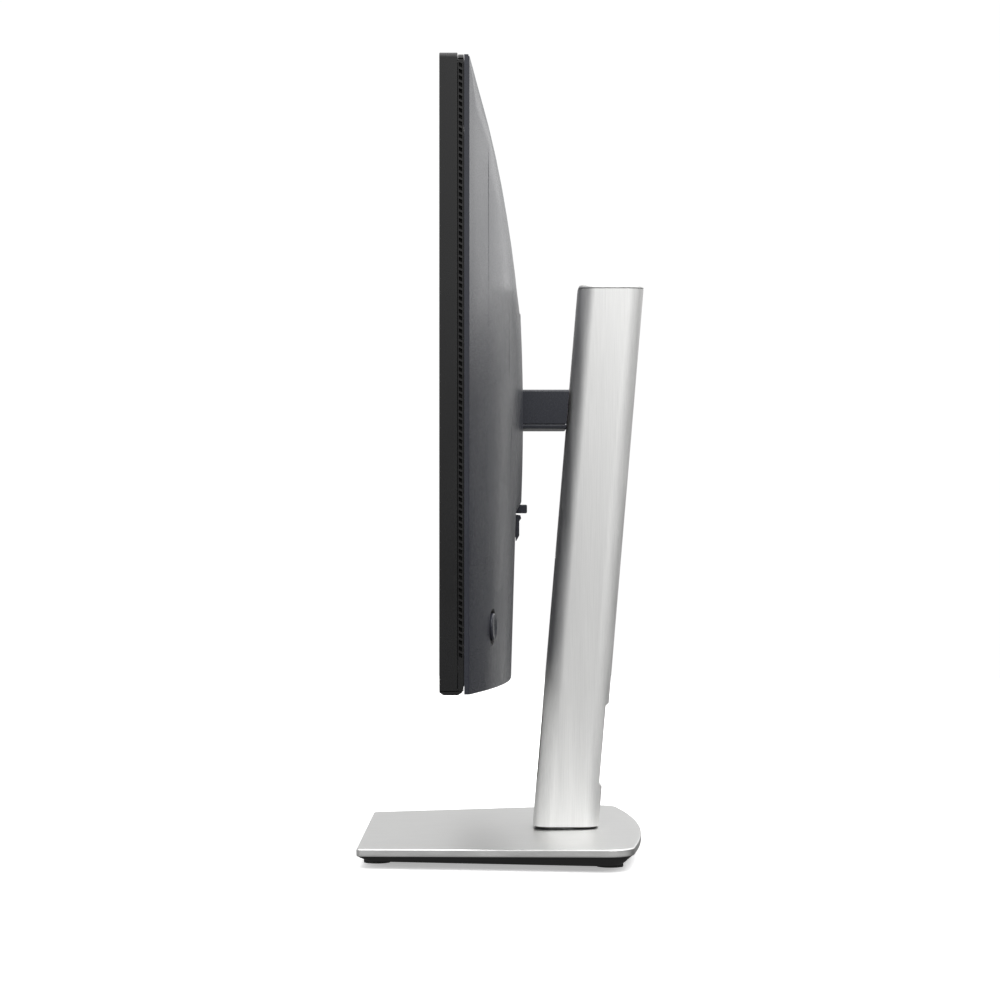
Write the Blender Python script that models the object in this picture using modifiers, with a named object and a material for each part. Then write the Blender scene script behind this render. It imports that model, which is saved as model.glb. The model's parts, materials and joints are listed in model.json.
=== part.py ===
"""A 27-inch computer monitor on a stand that lifts, tilts and swivels.

Frame: metres, +Z up, the desk at Z = 0, the screen faces -Y, +X is to the right of
someone behind the screen's front looking along +Y. The origin is the middle of the
footprint of the whole monitor.
"""

import math

import bmesh
import bpy
from mathutils import Matrix, Vector

# Clearances
GAP = 0.0003
HOLE_GAP = 0.0003

# Stand: base
BASE_FRONT_Y = -0.0925
BASE_DEPTH = 0.1837
BASE_FRONT_HALF = 0.117
BASE_REAR_HALF = 0.1418
BASE_THICK = 0.0049
BASE_SLOPE = math.radians(0.87)
BASE_REAR_RADIUS = 0.850
BASE_CORNER = 0.015
BASE_FRONT_CORNER = 0.002
BASE_CHAMFER = 0.0006
BASE_TOP_Z = 0.0145
TRAY_BOTTOM_Z = 0.0038
TRAY_WALL = 0.0013
TRAY_TOP_INSET = 0.0012
TRAY_BOTTOM_INSET = 0.0075
FOOT_RADIUS = 0.0085
FOOT_HEIGHT = 0.0035
FOOT_FRONT_INSET = (0.037, 0.0115)
FOOT_REAR_INSET = (0.0398, 0.024)
WEIGHT_THICK = 0.0020

# Stand: swivel
SWIVEL_Y = 0.0415
POST_RADIUS = 0.008
POST_NECK_RADIUS = 0.0147
POST_FLANGE_RADIUS = 0.018
POST_FLANGE_THICK = 0.0025
POST_HEIGHT = 0.0205
WASHER_THICK = 0.0008
NUT_HEIGHT = 0.006
NUT_RADIUS = 0.0120
THUMB_RADIUS = 0.0125
THUMB_HEAD = 0.0016
THUMB_SHANK = 0.003
THUMB_RECESS = 0.0185
RING_WIRE = 0.0007
RING_RADIUS = 0.0090
RING_SHIFT = 0.002
RING_LUG = 0.001
BOSS_GAP = 0.0012
TIP_IN_POST = 0.001

# Stand: riser
LEAN = math.radians(4.8)
RISER_WIDTH = 0.046
RISER_DEPTH = 0.0436
RISER_CORNER = 0.0115
RISER_WALL = 0.0024
RISER_LIFT_OFF = 0.0018
RISER_TOP_Z = 0.3768
CAP_THICK = 0.0035
SLOT_HALF = 0.0090
SLOT_MARGIN = 0.0015
SLOT_CORNER = 0.0030
CABLE_SLOT_HALF = 0.0135
CABLE_SLOT_LOW = 0.044
CABLE_SLOT_HIGH = 0.096
CABLE_SLOT_CORNER = 0.0100
CABLE_DISH_HALF = 0.026
CABLE_DISH_DEPTH = 0.0022
GUIDE_WALL = 0.0015
FOOT_PLATE_THICK = 0.0076
LUG_THICK = 0.004
LUG_HEIGHT = 0.022
COLUMN_HALF = 0.0195
COLUMN_WALL = 0.002
COLUMN_FRONT = -0.010
COLUMN_BACK = 0.014
RAIL_DEEP = 0.004
RAIL_WEB = 0.0014
RAIL_HALF = 0.006
RAIL_GROOVE_HALF = 0.0033
RAIL_LENGTH_BELOW = 0.134
RAIL_LENGTH_ABOVE = 0.0745

# Lift: the photographed height is the rest pose
LIFT_DOWN = 0.0905
LIFT_UP = 0.0595
ARM_Z = 0.2934
CHEEK_HALF = 0.0108
CHEEK_WALL = 0.0023
CARRIAGE_ABOVE = 0.0145
CARRIAGE_BELOW = 0.040
CARRIAGE_HALF_DEPTH = 0.009
COIL_RADIUS = 0.0112
COIL_CORE = 0.0075
COIL_HALF_WIDTH = 0.0072
AXLE_RADIUS = 0.002
DRUM_BELOW_ARM = 0.027
TAPE_THICK = 0.0003

# Arm
ARM_HALF = 0.0185
ARM_HEIGHT = 0.0262
ARM_WALL = 0.002
ARM_CORNER = 0.0015
ARM_FRONT_Y = 0.0105
ARM_SEAM = 0.0033
ARM_END_GAP = 0.0004
BEAM_HALF = 0.0080
BEAM_HALF_HEIGHT = 0.0075
FLANGE_HALF = 0.0100
FLANGE_HALF_HEIGHT = 0.0095
FLANGE_THICK = 0.003

# Tilt hinge
TILT_Y = 0.0044
TILT_BACK = math.radians(21)
TILT_FORWARD = math.radians(5)
KNUCKLE_RADIUS = 0.0042
KNUCKLE_HALF = 0.0085
PIN_RADIUS = 0.0025
PIN_HEAD_RADIUS = 0.0042
PIN_HEAD = 0.002
FRICTION_WASHER = 0.0022
EAR_THICK = 0.003
EAR_HALF_HEIGHT = 0.006
EAR_WINDOW = 0.011
EAR_REACH = 0.0046
BRACKET_HALF = (0.024, 0.018)
BRACKET_THICK = 0.002

# Quick-release plate on the stand, and its seat in the head
MOUNT_HALF = 0.0597
MOUNT_COVER_THICK = 0.0025
MOUNT_FACE_Y = 0.0126
MOUNT_CROWN_Z = 0.2850
MOUNT_CROWN_RADIUS = 1.385
MOUNT_DEPTH = 0.0150
DISC_RADIUS = 0.036
DISC_THICK = 0.003
RING_WIDTH = 0.0076
MOUNT_PLATE_THICK = 0.002
VESA_CLEAR = 0.0015
VESA_PITCH = 0.100
VESA_HOLE = 0.0022
VESA_HALF = 0.066
VESA_SHEET = 0.0018
VESA_FOOT = 0.014

# Head
HEAD_WIDTH = 0.611
HEAD_HEIGHT = 0.3569
ARM_ABOVE_HEAD_BOTTOM = 0.1741
FRONT_TO_TILT = 0.0404
FRAME_DEPTH = 0.0101
FRAME_WALL = 0.0018
FRAME_FLANGE = 0.006
FRAME_FLANGE_THICK = 0.0012
FRAME_CORNER = 0.003
VENT_DEPTH = 0.0034
VENT_INSET = 0.0009
VENT_WALL = 0.0008
VENT_TOOTH = 0.0016
VENT_PITCH = 0.0036
VENT_RIB = 0.0011
VENT_SLANT = 0.0016
VENT_TOP_MARGIN = 0.0035
VENT_BOTTOM_MARGIN = 0.0215
COVER_RIM = 0.003
COVER_INSET = 0.0012
COVER_WALL = 0.0022
CROWN_SIDE_SHARE = 0.659
CROWN_SIDE_POWER = 1.92
CROWN_TOP_RUN = 0.1770
CROWN_TOP_POWER = 2.30
CROWN_BLEND = 6.7
CROWN_HIGH = 0.0309
CROWN_LOW = 0.0242
CROWN_LOW_POWER = 0.7
PAD_HALF = 0.062
PAD_FADE = 0.053
PAD_TOP_FADE = (0.345, 0.370)
PAD_BOTTOM_FADE = (0.224, 0.231)
COVER_COLUMNS = 30
COVER_ROWS = 24
CHIN_FACE = 0.0070
CHIN_FACE_THICK = 0.0018
CHIN_DEPTH = 0.0128
CHIN_CHAMFER = 0.0024
CHIN_RISE = 0.0016
SIDE_BOTTOM_ABOVE = 0.0022
PANEL_THICK = 0.0016
PANEL_RECESS = 0.0004
PANEL_EDGE_GAP = 0.0005
BACKLIGHT_THICK = 0.0050
TRAY_SHEET = 0.0010

# Release button under the quick-release plate
RELEASE_Z = 0.2274
RELEASE_HALF = (0.006, 0.00285)
RELEASE_OUT = 0.0158
RELEASE_IN = 0.0010
RELEASE_TRAVEL = 0.0025
LATCH_HALF = 0.014
LATCH_THICK = 0.0018
LATCH_HEIGHT = 0.012
ESCUTCHEON_HALF = 0.009
ESCUTCHEON_LOW = 0.2060
ESCUTCHEON_HIGH = 0.2236
ESCUTCHEON_FACE_Y = 0.0106
ESCUTCHEON_LIP_Y = 0.0119

# Joystick at the back, near one lower corner
JOY_FROM_SIDE = 0.0645
JOY_Z = 0.1553
JOY_HOLE = 0.0108
JOY_DISH = 0.0036
JOY_DISH_FLOOR = 0.0060
JOY_CAP = 0.0080
JOY_STEM = 0.0016
JOY_PROUD = 0.0013
JOY_GIMBAL = 0.0030

# Sockets under the rear cover: a width (X), depth (Y), height (Z) and place, a share of the half-width
IO_SHARE = 0.491
IO_Z = 0.136
IO_SHEET = 0.0012
IO_Y = (-0.0240, 0.0000)
IO_MOUTH_Y = (-0.0190, -0.0015)
PORT_Y = -0.0112
AC_SIZE = (0.0280, 0.0200, 0.0180)
HDMI_SIZE = (0.0150, 0.0056, 0.0110)
DISPLAY_SIZE = (0.0168, 0.0064, 0.0110)
UPSTREAM_SIZE = (0.0120, 0.0112, 0.0120)
USB_SIZE = (0.0144, 0.0068, 0.0120)
AC_PLACE = -0.80
HDMI_PLACE = -0.4667
DISPLAY_PLACES = (-0.28, -0.0933)
UPSTREAM_PLACE = 0.12
USB_PLACES = (0.30, 0.46, 0.62, 0.78)
PORT_WALL = 0.0006
AC_WALL = 0.0020

# Circuit boards
BOARD_THICK = 0.0016
BOARD_Y = -0.0232
MAIN_BOARD_X = (-0.105, 0.105)
MAIN_BOARD_Z = (0.158, 0.216)
POWER_BOARD_X = (0.095, 0.190)
POWER_BOARD_Z = (0.226, 0.340)
BUTTON_FROM_SIDE = 0.0205
BUTTON_HALF = (0.006, 0.0018)
BUTTON_PROUD = 0.0003
BUTTON_HEIGHT = 0.0048

# Fasteners
SCREW_RADIUS = 0.0015

SMALL_SIDES = 12
ROUND_SIDES = 32

# Worked out from the above
ORIGIN = Vector((0, 0, 0))
SLOPE = math.tan(LEAN)
HEAD_BOTTOM = ARM_Z - ARM_ABOVE_HEAD_BOTTOM
HEAD_TOP = HEAD_BOTTOM + HEAD_HEIGHT
HEAD_HALF = HEAD_WIDTH / 2
CROWN_SIDE_RUN = HEAD_HALF * CROWN_SIDE_SHARE
JOY_X = HEAD_HALF - JOY_FROM_SIDE
BUTTON_X = HEAD_HALF - BUTTON_FROM_SIDE
IO_HALF = HEAD_HALF * IO_SHARE
AC_X = IO_HALF * AC_PLACE
HDMI_X = IO_HALF * HDMI_PLACE
DISPLAY_X = [IO_HALF * place for place in DISPLAY_PLACES]
UPSTREAM_X = IO_HALF * UPSTREAM_PLACE
USB_X = [IO_HALF * place for place in USB_PLACES]
HEAD_FRONT = TILT_Y - FRONT_TO_TILT
FRAME_BACK = HEAD_FRONT + FRAME_DEPTH
RIM_FRONT = FRAME_BACK + VENT_DEPTH
CROWN_START = RIM_FRONT + COVER_RIM
COVER_HALF = HEAD_HALF - COVER_INSET
COVER_TOP = HEAD_TOP - COVER_INSET
COVER_BOTTOM = HEAD_BOTTOM + GAP
SIDE_BOTTOM = HEAD_BOTTOM + SIDE_BOTTOM_ABOVE
RISER_BOTTOM = BASE_TOP_Z + RISER_LIFT_OFF
SHELL_TOP = RISER_TOP_Z - CAP_THICK
SLOT_LOW = ARM_Z - LIFT_DOWN - BEAM_HALF_HEIGHT - SLOT_MARGIN
SLOT_HIGH = ARM_Z + LIFT_UP + BEAM_HALF_HEIGHT + SLOT_MARGIN
POST_FLANGE_LOW = BASE_TOP_Z + 0.0005
POST_FLANGE_HIGH = POST_FLANGE_LOW + POST_FLANGE_THICK
WASHER_LOW = POST_FLANGE_HIGH + GAP
FOOT_PLATE_LOW = WASHER_LOW + WASHER_THICK + GAP
FOOT_PLATE_HIGH = FOOT_PLATE_LOW + FOOT_PLATE_THICK
NUT_LOW = FOOT_PLATE_HIGH + GAP
COLUMN_LOW = FOOT_PLATE_HIGH + GAP
COLUMN_HIGH = SHELL_TOP - 0.002
PLATE_UNDER_AXIS = BASE_TOP_Z - BASE_THICK
BOSS_TOP = PLATE_UNDER_AXIS - BOSS_GAP
THUMB_HIGH = BOSS_TOP - TRAY_WALL - GAP
THUMB_LOW = THUMB_HIGH - THUMB_HEAD
RING_HINGE_Z = THUMB_LOW - RING_WIRE - GAP
RING_HINGE_Y = SWIVEL_Y - RING_SHIFT
DRUM_Z = ARM_Z - DRUM_BELOW_ARM
DISC_BACK = TILT_Y - KNUCKLE_RADIUS - 0.0006
DISC_FRONT = DISC_BACK - DISC_THICK
MOUNT_PLATE_BACK = DISC_FRONT - GAP
MOUNT_PLATE_FRONT = MOUNT_PLATE_BACK - MOUNT_PLATE_THICK
VESA_BACK = MOUNT_PLATE_FRONT - VESA_CLEAR
VESA_FRONT = VESA_BACK - VESA_SHEET
PANEL_FRONT = HEAD_FRONT + PANEL_RECESS
BACKLIGHT_FRONT = PANEL_FRONT + PANEL_THICK + GAP
SHEET_FRONT = BACKLIGHT_FRONT + BACKLIGHT_THICK + GAP
SHEET_BACK = SHEET_FRONT + TRAY_SHEET
PANEL_HALF = HEAD_HALF - FRAME_WALL - PANEL_EDGE_GAP
PANEL_TOP = HEAD_TOP - FRAME_WALL - PANEL_EDGE_GAP
CHIN_TOP = HEAD_BOTTOM + CHIN_FACE
PANEL_BOTTOM = CHIN_TOP + PANEL_EDGE_GAP


def clear_scene():
    for obj in list(bpy.data.objects):
        bpy.data.objects.remove(obj, do_unlink=True)


def new_collection(name):
    collection = bpy.data.collections.new(name)
    bpy.context.scene.collection.children.link(collection)
    return collection


clear_scene()
PARTS = new_collection("Monitor")
CUTTERS = new_collection("Cutters")


# Materials -------------------------------------------------------------------------


def make_material(name, colour, roughness, metallic):
    material = bpy.data.materials.new(name)
    material.use_nodes = True
    shader = material.node_tree.nodes["Principled BSDF"]
    shader.inputs["Base Color"].default_value = (*colour, 1)
    shader.inputs["Roughness"].default_value = roughness
    shader.inputs["Metallic"].default_value = metallic
    return material


FINISHES = {
    "aluminium": ((0.72, 0.72, 0.71), 0.38, 1.0),
    "dark_shell": ((0.060, 0.062, 0.070), 0.42, 0.0),
    "black_frame": ((0.030, 0.030, 0.031), 0.45, 0.0),
    "black_plastic": ((0.012, 0.012, 0.012), 0.55, 0.0),
    "steel": ((0.55, 0.55, 0.56), 0.35, 1.0),
    "rubber": ((0.010, 0.010, 0.010), 0.85, 0.0),
    "screen_glass": ((0.006, 0.006, 0.008), 0.22, 0.0),
    "board_green": ((0.015, 0.080, 0.040), 0.50, 0.0),
    "white_plastic": ((0.70, 0.70, 0.68), 0.45, 0.0),
}


def finish(name, kind):
    """Each piece gets a material of its own, in one of the shared finishes."""
    return make_material(name + "_finish", *FINISHES[kind])


# Bodies: an empty on each joint's axis ----------------------------------------------


class Body:
    """A rigid group of pieces, whose empty stands on the joint that moves it."""

    def __init__(self, name, pivot, parent=None):
        self.pivot = Vector(pivot)
        self.empty = bpy.data.objects.new(name + "_pivot", None)
        self.empty.empty_display_size = 0.01
        PARTS.objects.link(self.empty)
        self.empty.location = self.pivot
        if parent:
            self.empty.parent = parent.empty
            self.empty.location = self.pivot - parent.pivot


# Shapes -----------------------------------------------------------------------------


def block(x, y, z):
    """A box between the low and high value given for each axis."""
    shape = bmesh.new()
    bmesh.ops.create_cube(shape, size=1)
    size = Matrix.Diagonal((x[1] - x[0], y[1] - y[0], z[1] - z[0], 1))
    middle = Matrix.Translation((sum(x) / 2, sum(y) / 2, sum(z) / 2))
    shape.transform(middle @ size)
    return shape


def centred_block(centre, half):
    return block(*[(c - h, c + h) for c, h in zip(centre, half)])


TURN_TO = {
    "X": Matrix.Rotation(math.pi / 2, 4, "Y"),
    "Y": Matrix.Rotation(-math.pi / 2, 4, "X"),
    "Z": Matrix.Identity(4),
}


def rod(centre, radius, length, axis="Z", sides=ROUND_SIDES):
    shape = bmesh.new()
    bmesh.ops.create_cone(
        shape, cap_ends=True, segments=sides, radius1=radius, radius2=radius, depth=length
    )
    shape.transform(Matrix.Translation(centre) @ TURN_TO[axis])
    return shape


def turned(profile, centre=(0, 0, 0), axis="Z", sides=ROUND_SIDES, closed=False):
    """A profile of (radius, height) points turned about an axis. A closed profile is a ring."""
    mesh = bpy.data.meshes.new("profile")
    points = [(radius, 0, height) for radius, height in profile]
    edges = [(i, i + 1) for i in range(len(points) - 1)]
    if closed:
        edges.append((len(points) - 1, 0))
    mesh.from_pydata(points, edges, [])
    holder = bpy.data.objects.new("profile", mesh)
    bpy.context.scene.collection.objects.link(holder)
    screw = holder.modifiers.new("Screw", "SCREW")
    screw.steps = screw.render_steps = sides
    screw.use_merge_vertices = True
    screw.merge_threshold = 0.00001
    shape = bmesh.new()
    shape.from_object(holder, bpy.context.evaluated_depsgraph_get())
    bpy.data.objects.remove(holder)
    bmesh.ops.remove_doubles(shape, verts=shape.verts, dist=0.00001)
    bmesh.ops.recalc_face_normals(shape, faces=shape.faces)
    shape.transform(Matrix.Translation(centre) @ TURN_TO[axis])
    return shape


def washer(centre, inner, outer, length, axis="Z", sides=ROUND_SIDES):
    low, high = -length / 2, length / 2
    ring = [(inner, low), (outer, low), (outer, high), (inner, high)]
    return turned(ring, centre, axis, sides, closed=True)


def extruded(outline, axis, low, high):
    """A flat outline given in the two other axes, in order, and drawn out along one axis."""
    order = {"X": lambda a, b, c: (c, a, b), "Y": lambda a, b, c: (a, c, b)}
    place = order.get(axis, lambda a, b, c: (a, b, c))
    shape = bmesh.new()
    face = shape.faces.new([shape.verts.new(place(a, b, low)) for a, b in outline])
    drawn = bmesh.ops.extrude_face_region(shape, geom=[face])["geom"]
    step = Vector(place(0, 0, high - low))
    bmesh.ops.translate(shape, vec=step, verts=[v for v in drawn if isinstance(v, bmesh.types.BMVert)])
    bmesh.ops.recalc_face_normals(shape, faces=shape.faces)
    return shape


def loft(rings, hollow=False):
    """Skins rings of equally many points in turn. A hollow loft joins the last ring to the first."""
    shape = bmesh.new()
    loops = [[shape.verts.new(point) for point in ring] for ring in rings]
    pairs = list(zip(loops, loops[1:] + ([loops[0]] if hollow else [])))
    for lower, upper in pairs:
        for i, corner in enumerate(lower):
            follow = (i + 1) % len(lower)
            shape.faces.new((corner, lower[follow], upper[follow], upper[i]))
    if not hollow:
        shape.faces.new(loops[0])
        shape.faces.new(loops[-1])
    bmesh.ops.recalc_face_normals(shape, faces=shape.faces)
    return shape


def arc(centre, radius, start, end, steps):
    """Points on an arc, from one angle to another, in radians."""
    angles = [start + (end - start) * i / steps for i in range(steps + 1)]
    return [(centre[0] + radius * math.cos(a), centre[1] + radius * math.sin(a)) for a in angles]


def rounded_rectangle(half_width, low, high, radius, steps=5):
    """A rectangle with round corners, between two heights, counter-clockwise."""
    quarter = math.pi / 2
    middles = [
        (half_width - radius, low + radius, -quarter),
        (half_width - radius, high - radius, 0),
        (radius - half_width, high - radius, quarter),
        (radius - half_width, low + radius, 2 * quarter),
    ]
    points = []
    for x, y, start in middles:
        points += arc((x, y), radius, start, start + quarter, steps)
    return points


def ring_at(outline, z):
    return [(x, y, z) for x, y in outline]


def group(shapes):
    """Several separate solids as one shape."""
    result = bmesh.new()
    for shape in shapes:
        mesh = bpy.data.meshes.new("member")
        shape.to_mesh(mesh)
        result.from_mesh(mesh)
        bpy.data.meshes.remove(mesh)
        shape.free()
    return result


def lean(shape):
    """Moves a shape drawn about the riser's own upright axis onto the leaning riser."""
    sheared = Matrix.Identity(4)
    sheared[1][2] = SLOPE
    sheared[1][3] = SWIVEL_Y - BASE_TOP_Z * SLOPE
    shape.transform(sheared)
    return shape


def riser_y(v, z):
    """Y of a point of the riser, from its depth v in the section and its height."""
    return SWIVEL_Y + v + (z - BASE_TOP_Z) * SLOPE


# Objects ----------------------------------------------------------------------------


def add_part(name, shape, kind, body, smooth=True):
    """A named piece. Its origin is the pivot of the body that it moves with."""
    shape.transform(Matrix.Translation(-body.pivot))
    mesh = bpy.data.meshes.new(name)
    shape.to_mesh(mesh)
    shape.free()
    if smooth:
        mesh.shade_smooth()
        mesh.set_sharp_from_angle(angle=math.radians(30))
    part = bpy.data.objects.new(name, mesh)
    part.data.materials.append(finish(name, kind))
    PARTS.objects.link(part)
    part.parent = body.empty
    return part


def add_tool(part, shape):
    mesh = bpy.data.meshes.new(part.name + "_cutter")
    shape.to_mesh(mesh)
    shape.free()
    tool = bpy.data.objects.new(part.name + "_cutter", mesh)
    tool.hide_render = True
    tool.display_type = "WIRE"
    CUTTERS.objects.link(tool)
    return tool


def combine(part, shape, operation):
    boolean = part.modifiers.new(operation.title(), "BOOLEAN")
    boolean.operation = operation
    boolean.solver = "EXACT"
    boolean.object = add_tool(part, shape)


def cut(part, shape):
    combine(part, shape, "DIFFERENCE")


def join(part, shape):
    combine(part, shape, "UNION")


# Base -------------------------------------------------------------------------------


def base_outline(inset=0.0, steps=12):
    """The plate's outline seen from above: a trapezoid with a bowed rear edge."""
    rear = BASE_FRONT_Y + BASE_DEPTH - inset
    radius = BASE_REAR_RADIUS
    reach = BASE_REAR_HALF - BASE_CORNER
    front = BASE_FRONT_Y + inset
    corner = BASE_FRONT_CORNER
    half_front = BASE_FRONT_HALF - inset
    side_y = rear - (radius - math.sqrt(radius**2 - reach**2)) - BASE_CORNER
    lean_in = math.atan2(BASE_REAR_HALF - BASE_FRONT_HALF, side_y - BASE_FRONT_Y)
    bow = math.asin((reach - inset) / radius)
    middle = (reach - inset, side_y)
    right = [(half_front - corner, front), (half_front, front + corner)]
    right += arc(middle, BASE_CORNER, -lean_in, math.pi / 2 - bow, 6)
    crown = arc((0, rear - radius), radius, math.pi / 2 - bow, math.pi / 2, steps)[1:]
    half = right + crown
    return half + [(-x, y) for x, y in reversed(half[:-1])]


def base_top(y):
    """Height of the plate's upper face."""
    return BASE_TOP_Z + (y - SWIVEL_Y) * math.tan(BASE_SLOPE)


def base_under(y):
    return base_top(y) - BASE_THICK / math.cos(BASE_SLOPE)


def feet_places():
    front_x = BASE_FRONT_HALF - FOOT_FRONT_INSET[0]
    rear_x = BASE_REAR_HALF - FOOT_REAR_INSET[0]
    front_y = BASE_FRONT_Y + FOOT_FRONT_INSET[1]
    rear_y = BASE_FRONT_Y + BASE_DEPTH - FOOT_REAR_INSET[1]
    return [(side * x, y) for x, y in ((front_x, front_y), (rear_x, rear_y)) for side in (-1, 1)]


def base_screw_places():
    front_y = BASE_FRONT_Y + 0.030
    rear_y = BASE_FRONT_Y + BASE_DEPTH - 0.030
    return [(side * x, y) for x, y in ((0.060, front_y), (0.085, rear_y)) for side in (-1, 1)]


def make_base(base):
    top = BASE_TOP_Z
    plate = extruded([(x, y - SWIVEL_Y) for x, y in base_outline()], "Z", -BASE_THICK, 0)
    bmesh.ops.bevel(
        plate,
        geom=[e for e in plate.edges if abs(e.verts[0].co.z - e.verts[1].co.z) < GAP / 10],
        offset=BASE_CHAMFER,
        segments=1,
        affect="EDGES",
    )
    plate.transform(Matrix.Translation((0, SWIVEL_Y, top)) @ Matrix.Rotation(BASE_SLOPE, 4, "X"))
    plate_part = add_part("base_plate", plate, "aluminium", base)
    holes = [rod((0, SWIVEL_Y, top), POST_NECK_RADIUS + HOLE_GAP, 0.02)]
    for x, y in base_screw_places():
        deep = base_under(y) + 0.0025
        low = TRAY_BOTTOM_Z
        radius = SCREW_RADIUS + HOLE_GAP
        holes.append(rod((x, y, (deep + low) / 2), radius, deep - low, sides=SMALL_SIDES))
    cut(plate_part, group(holes))

    def tray_ring(inset, height):
        return [(x, y, height(y)) for x, y in base_outline(inset)]

    tray = loft(
        [
            tray_ring(TRAY_BOTTOM_INSET, lambda y: TRAY_BOTTOM_Z),
            tray_ring(TRAY_TOP_INSET, lambda y: base_under(y) - GAP),
            tray_ring(TRAY_TOP_INSET + TRAY_WALL, lambda y: base_under(y) - GAP),
            tray_ring(TRAY_BOTTOM_INSET + TRAY_WALL, lambda y: TRAY_BOTTOM_Z + TRAY_WALL),
        ]
    )
    tray_part = add_part("base_tray", tray, "black_plastic", base)
    boss_middle = (0, SWIVEL_Y, (BOSS_TOP + TRAY_BOTTOM_Z) / 2)
    join(tray_part, rod(boss_middle, THUMB_RECESS + TRAY_WALL, BOSS_TOP - TRAY_BOTTOM_Z))
    roof = BOSS_TOP - TRAY_WALL
    pocket_low = TRAY_BOTTOM_Z - 0.001
    tray_cuts = [
        rod((0, SWIVEL_Y, (roof + pocket_low) / 2), THUMB_RECESS, roof - pocket_low),
    ]
    for x, y in base_screw_places():
        tray_cuts.append(rod((x, y, TRAY_BOTTOM_Z), SCREW_RADIUS + HOLE_GAP, 0.008, sides=SMALL_SIDES))
    cut(tray_part, group(tray_cuts))
    cut(tray_part, rod((0, SWIVEL_Y, roof), THUMB_SHANK + HOLE_GAP, 0.008, sides=SMALL_SIDES))

    weight_low = TRAY_BOTTOM_Z + TRAY_WALL + GAP
    weight_outline = [
        (x, y) for x, y in rounded_rectangle(BASE_FRONT_HALF - 0.024, BASE_FRONT_Y + 0.020, 0.012, 0.006)
    ]
    weight = add_part(
        "base_weight",
        extruded(weight_outline, "Z", weight_low, weight_low + WEIGHT_THICK),
        "steel",
        base,
    )
    weight_holes = [
        rod((x, y, weight_low), SCREW_RADIUS + 2 * HOLE_GAP, 0.010, sides=SMALL_SIDES)
        for x, y in base_screw_places()
        if y < 0
    ]
    cut(weight, group(weight_holes))

    for number, (x, y) in enumerate(feet_places(), 1):
        foot = rod((x, y, FOOT_HEIGHT / 2), FOOT_RADIUS, FOOT_HEIGHT, sides=24)
        add_part(f"rubber_foot_{number}", foot, "rubber", base)

    neck_low = BOSS_TOP + GAP
    post = [
        (0, POST_FLANGE_HIGH + POST_HEIGHT),
        (POST_RADIUS - 0.001, POST_FLANGE_HIGH + POST_HEIGHT),
        (POST_RADIUS, POST_FLANGE_HIGH + POST_HEIGHT - 0.001),
        (POST_RADIUS, POST_FLANGE_HIGH),
        (POST_FLANGE_RADIUS, POST_FLANGE_HIGH),
        (POST_FLANGE_RADIUS, POST_FLANGE_LOW),
        (POST_NECK_RADIUS, POST_FLANGE_LOW),
        (POST_NECK_RADIUS, neck_low),
        (THUMB_SHANK + HOLE_GAP, neck_low),
        (THUMB_SHANK + HOLE_GAP, POST_FLANGE_HIGH),
        (0, POST_FLANGE_HIGH),
    ]
    add_part("swivel_post", turned(post, (0, SWIVEL_Y, 0)), "steel", base)
    nut = rod((0, SWIVEL_Y, NUT_LOW + NUT_HEIGHT / 2), NUT_RADIUS, NUT_HEIGHT, sides=6)
    nut_part = add_part("swivel_nut", nut, "steel", base, smooth=False)
    cut(nut_part, rod((0, SWIVEL_Y, NUT_LOW), POST_RADIUS + HOLE_GAP, 0.03))


def make_thumbscrew(thumb, ring):
    tip = POST_FLANGE_HIGH - TIP_IN_POST
    profile = [
        (0, tip),
        (THUMB_SHANK, tip),
        (THUMB_SHANK, THUMB_HIGH),
        (THUMB_RADIUS, THUMB_HIGH),
        (THUMB_RADIUS, THUMB_LOW),
        (0, THUMB_LOW),
    ]
    screw = add_part("thumbscrew", turned(profile, (0, SWIVEL_Y, 0)), "steel", thumb)
    lug_x = RING_RADIUS + RING_WIRE + GAP + RING_LUG
    lugs = []
    for side in (-1, 1):
        centre = (side * lug_x, RING_HINGE_Y, RING_HINGE_Z)
        lugs.append(centred_block(centre, (RING_LUG, RING_LUG, 2 * RING_WIRE)))
    join(screw, group(lugs))
    ring_curve = bpy.data.curves.new("screw_ring", "CURVE")
    ring_curve.dimensions = "3D"
    ring_curve.bevel_depth = RING_WIRE
    ring_curve.bevel_resolution = 2
    ring_curve.use_fill_caps = True
    spline = ring_curve.splines.new("POLY")
    bow = arc((0, 0), RING_RADIUS, 0, -math.pi, 14)
    spline.points.add(len(bow) - 1)
    for point, (x, y) in zip(spline.points, bow):
        point.co = (x, y, 0, 1)
    spline.use_cyclic_u = True
    holder = bpy.data.objects.new("ring_curve", ring_curve)
    bpy.context.scene.collection.objects.link(holder)
    evaluated = holder.evaluated_get(bpy.context.evaluated_depsgraph_get())
    shape = bmesh.new()
    shape.from_mesh(bpy.data.meshes.new_from_object(evaluated))
    bpy.data.objects.remove(holder)
    bmesh.ops.remove_doubles(shape, verts=shape.verts, dist=0.00001)
    shape.transform(Matrix.Translation(ring.pivot))
    add_part("screw_ring", shape, "steel", ring)


# Riser ------------------------------------------------------------------------------


def riser_section(inset=0.0, steps=6):
    half = RISER_DEPTH / 2 - inset
    return rounded_rectangle(RISER_WIDTH / 2 - inset, -half, half, RISER_CORNER - inset, steps)


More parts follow.
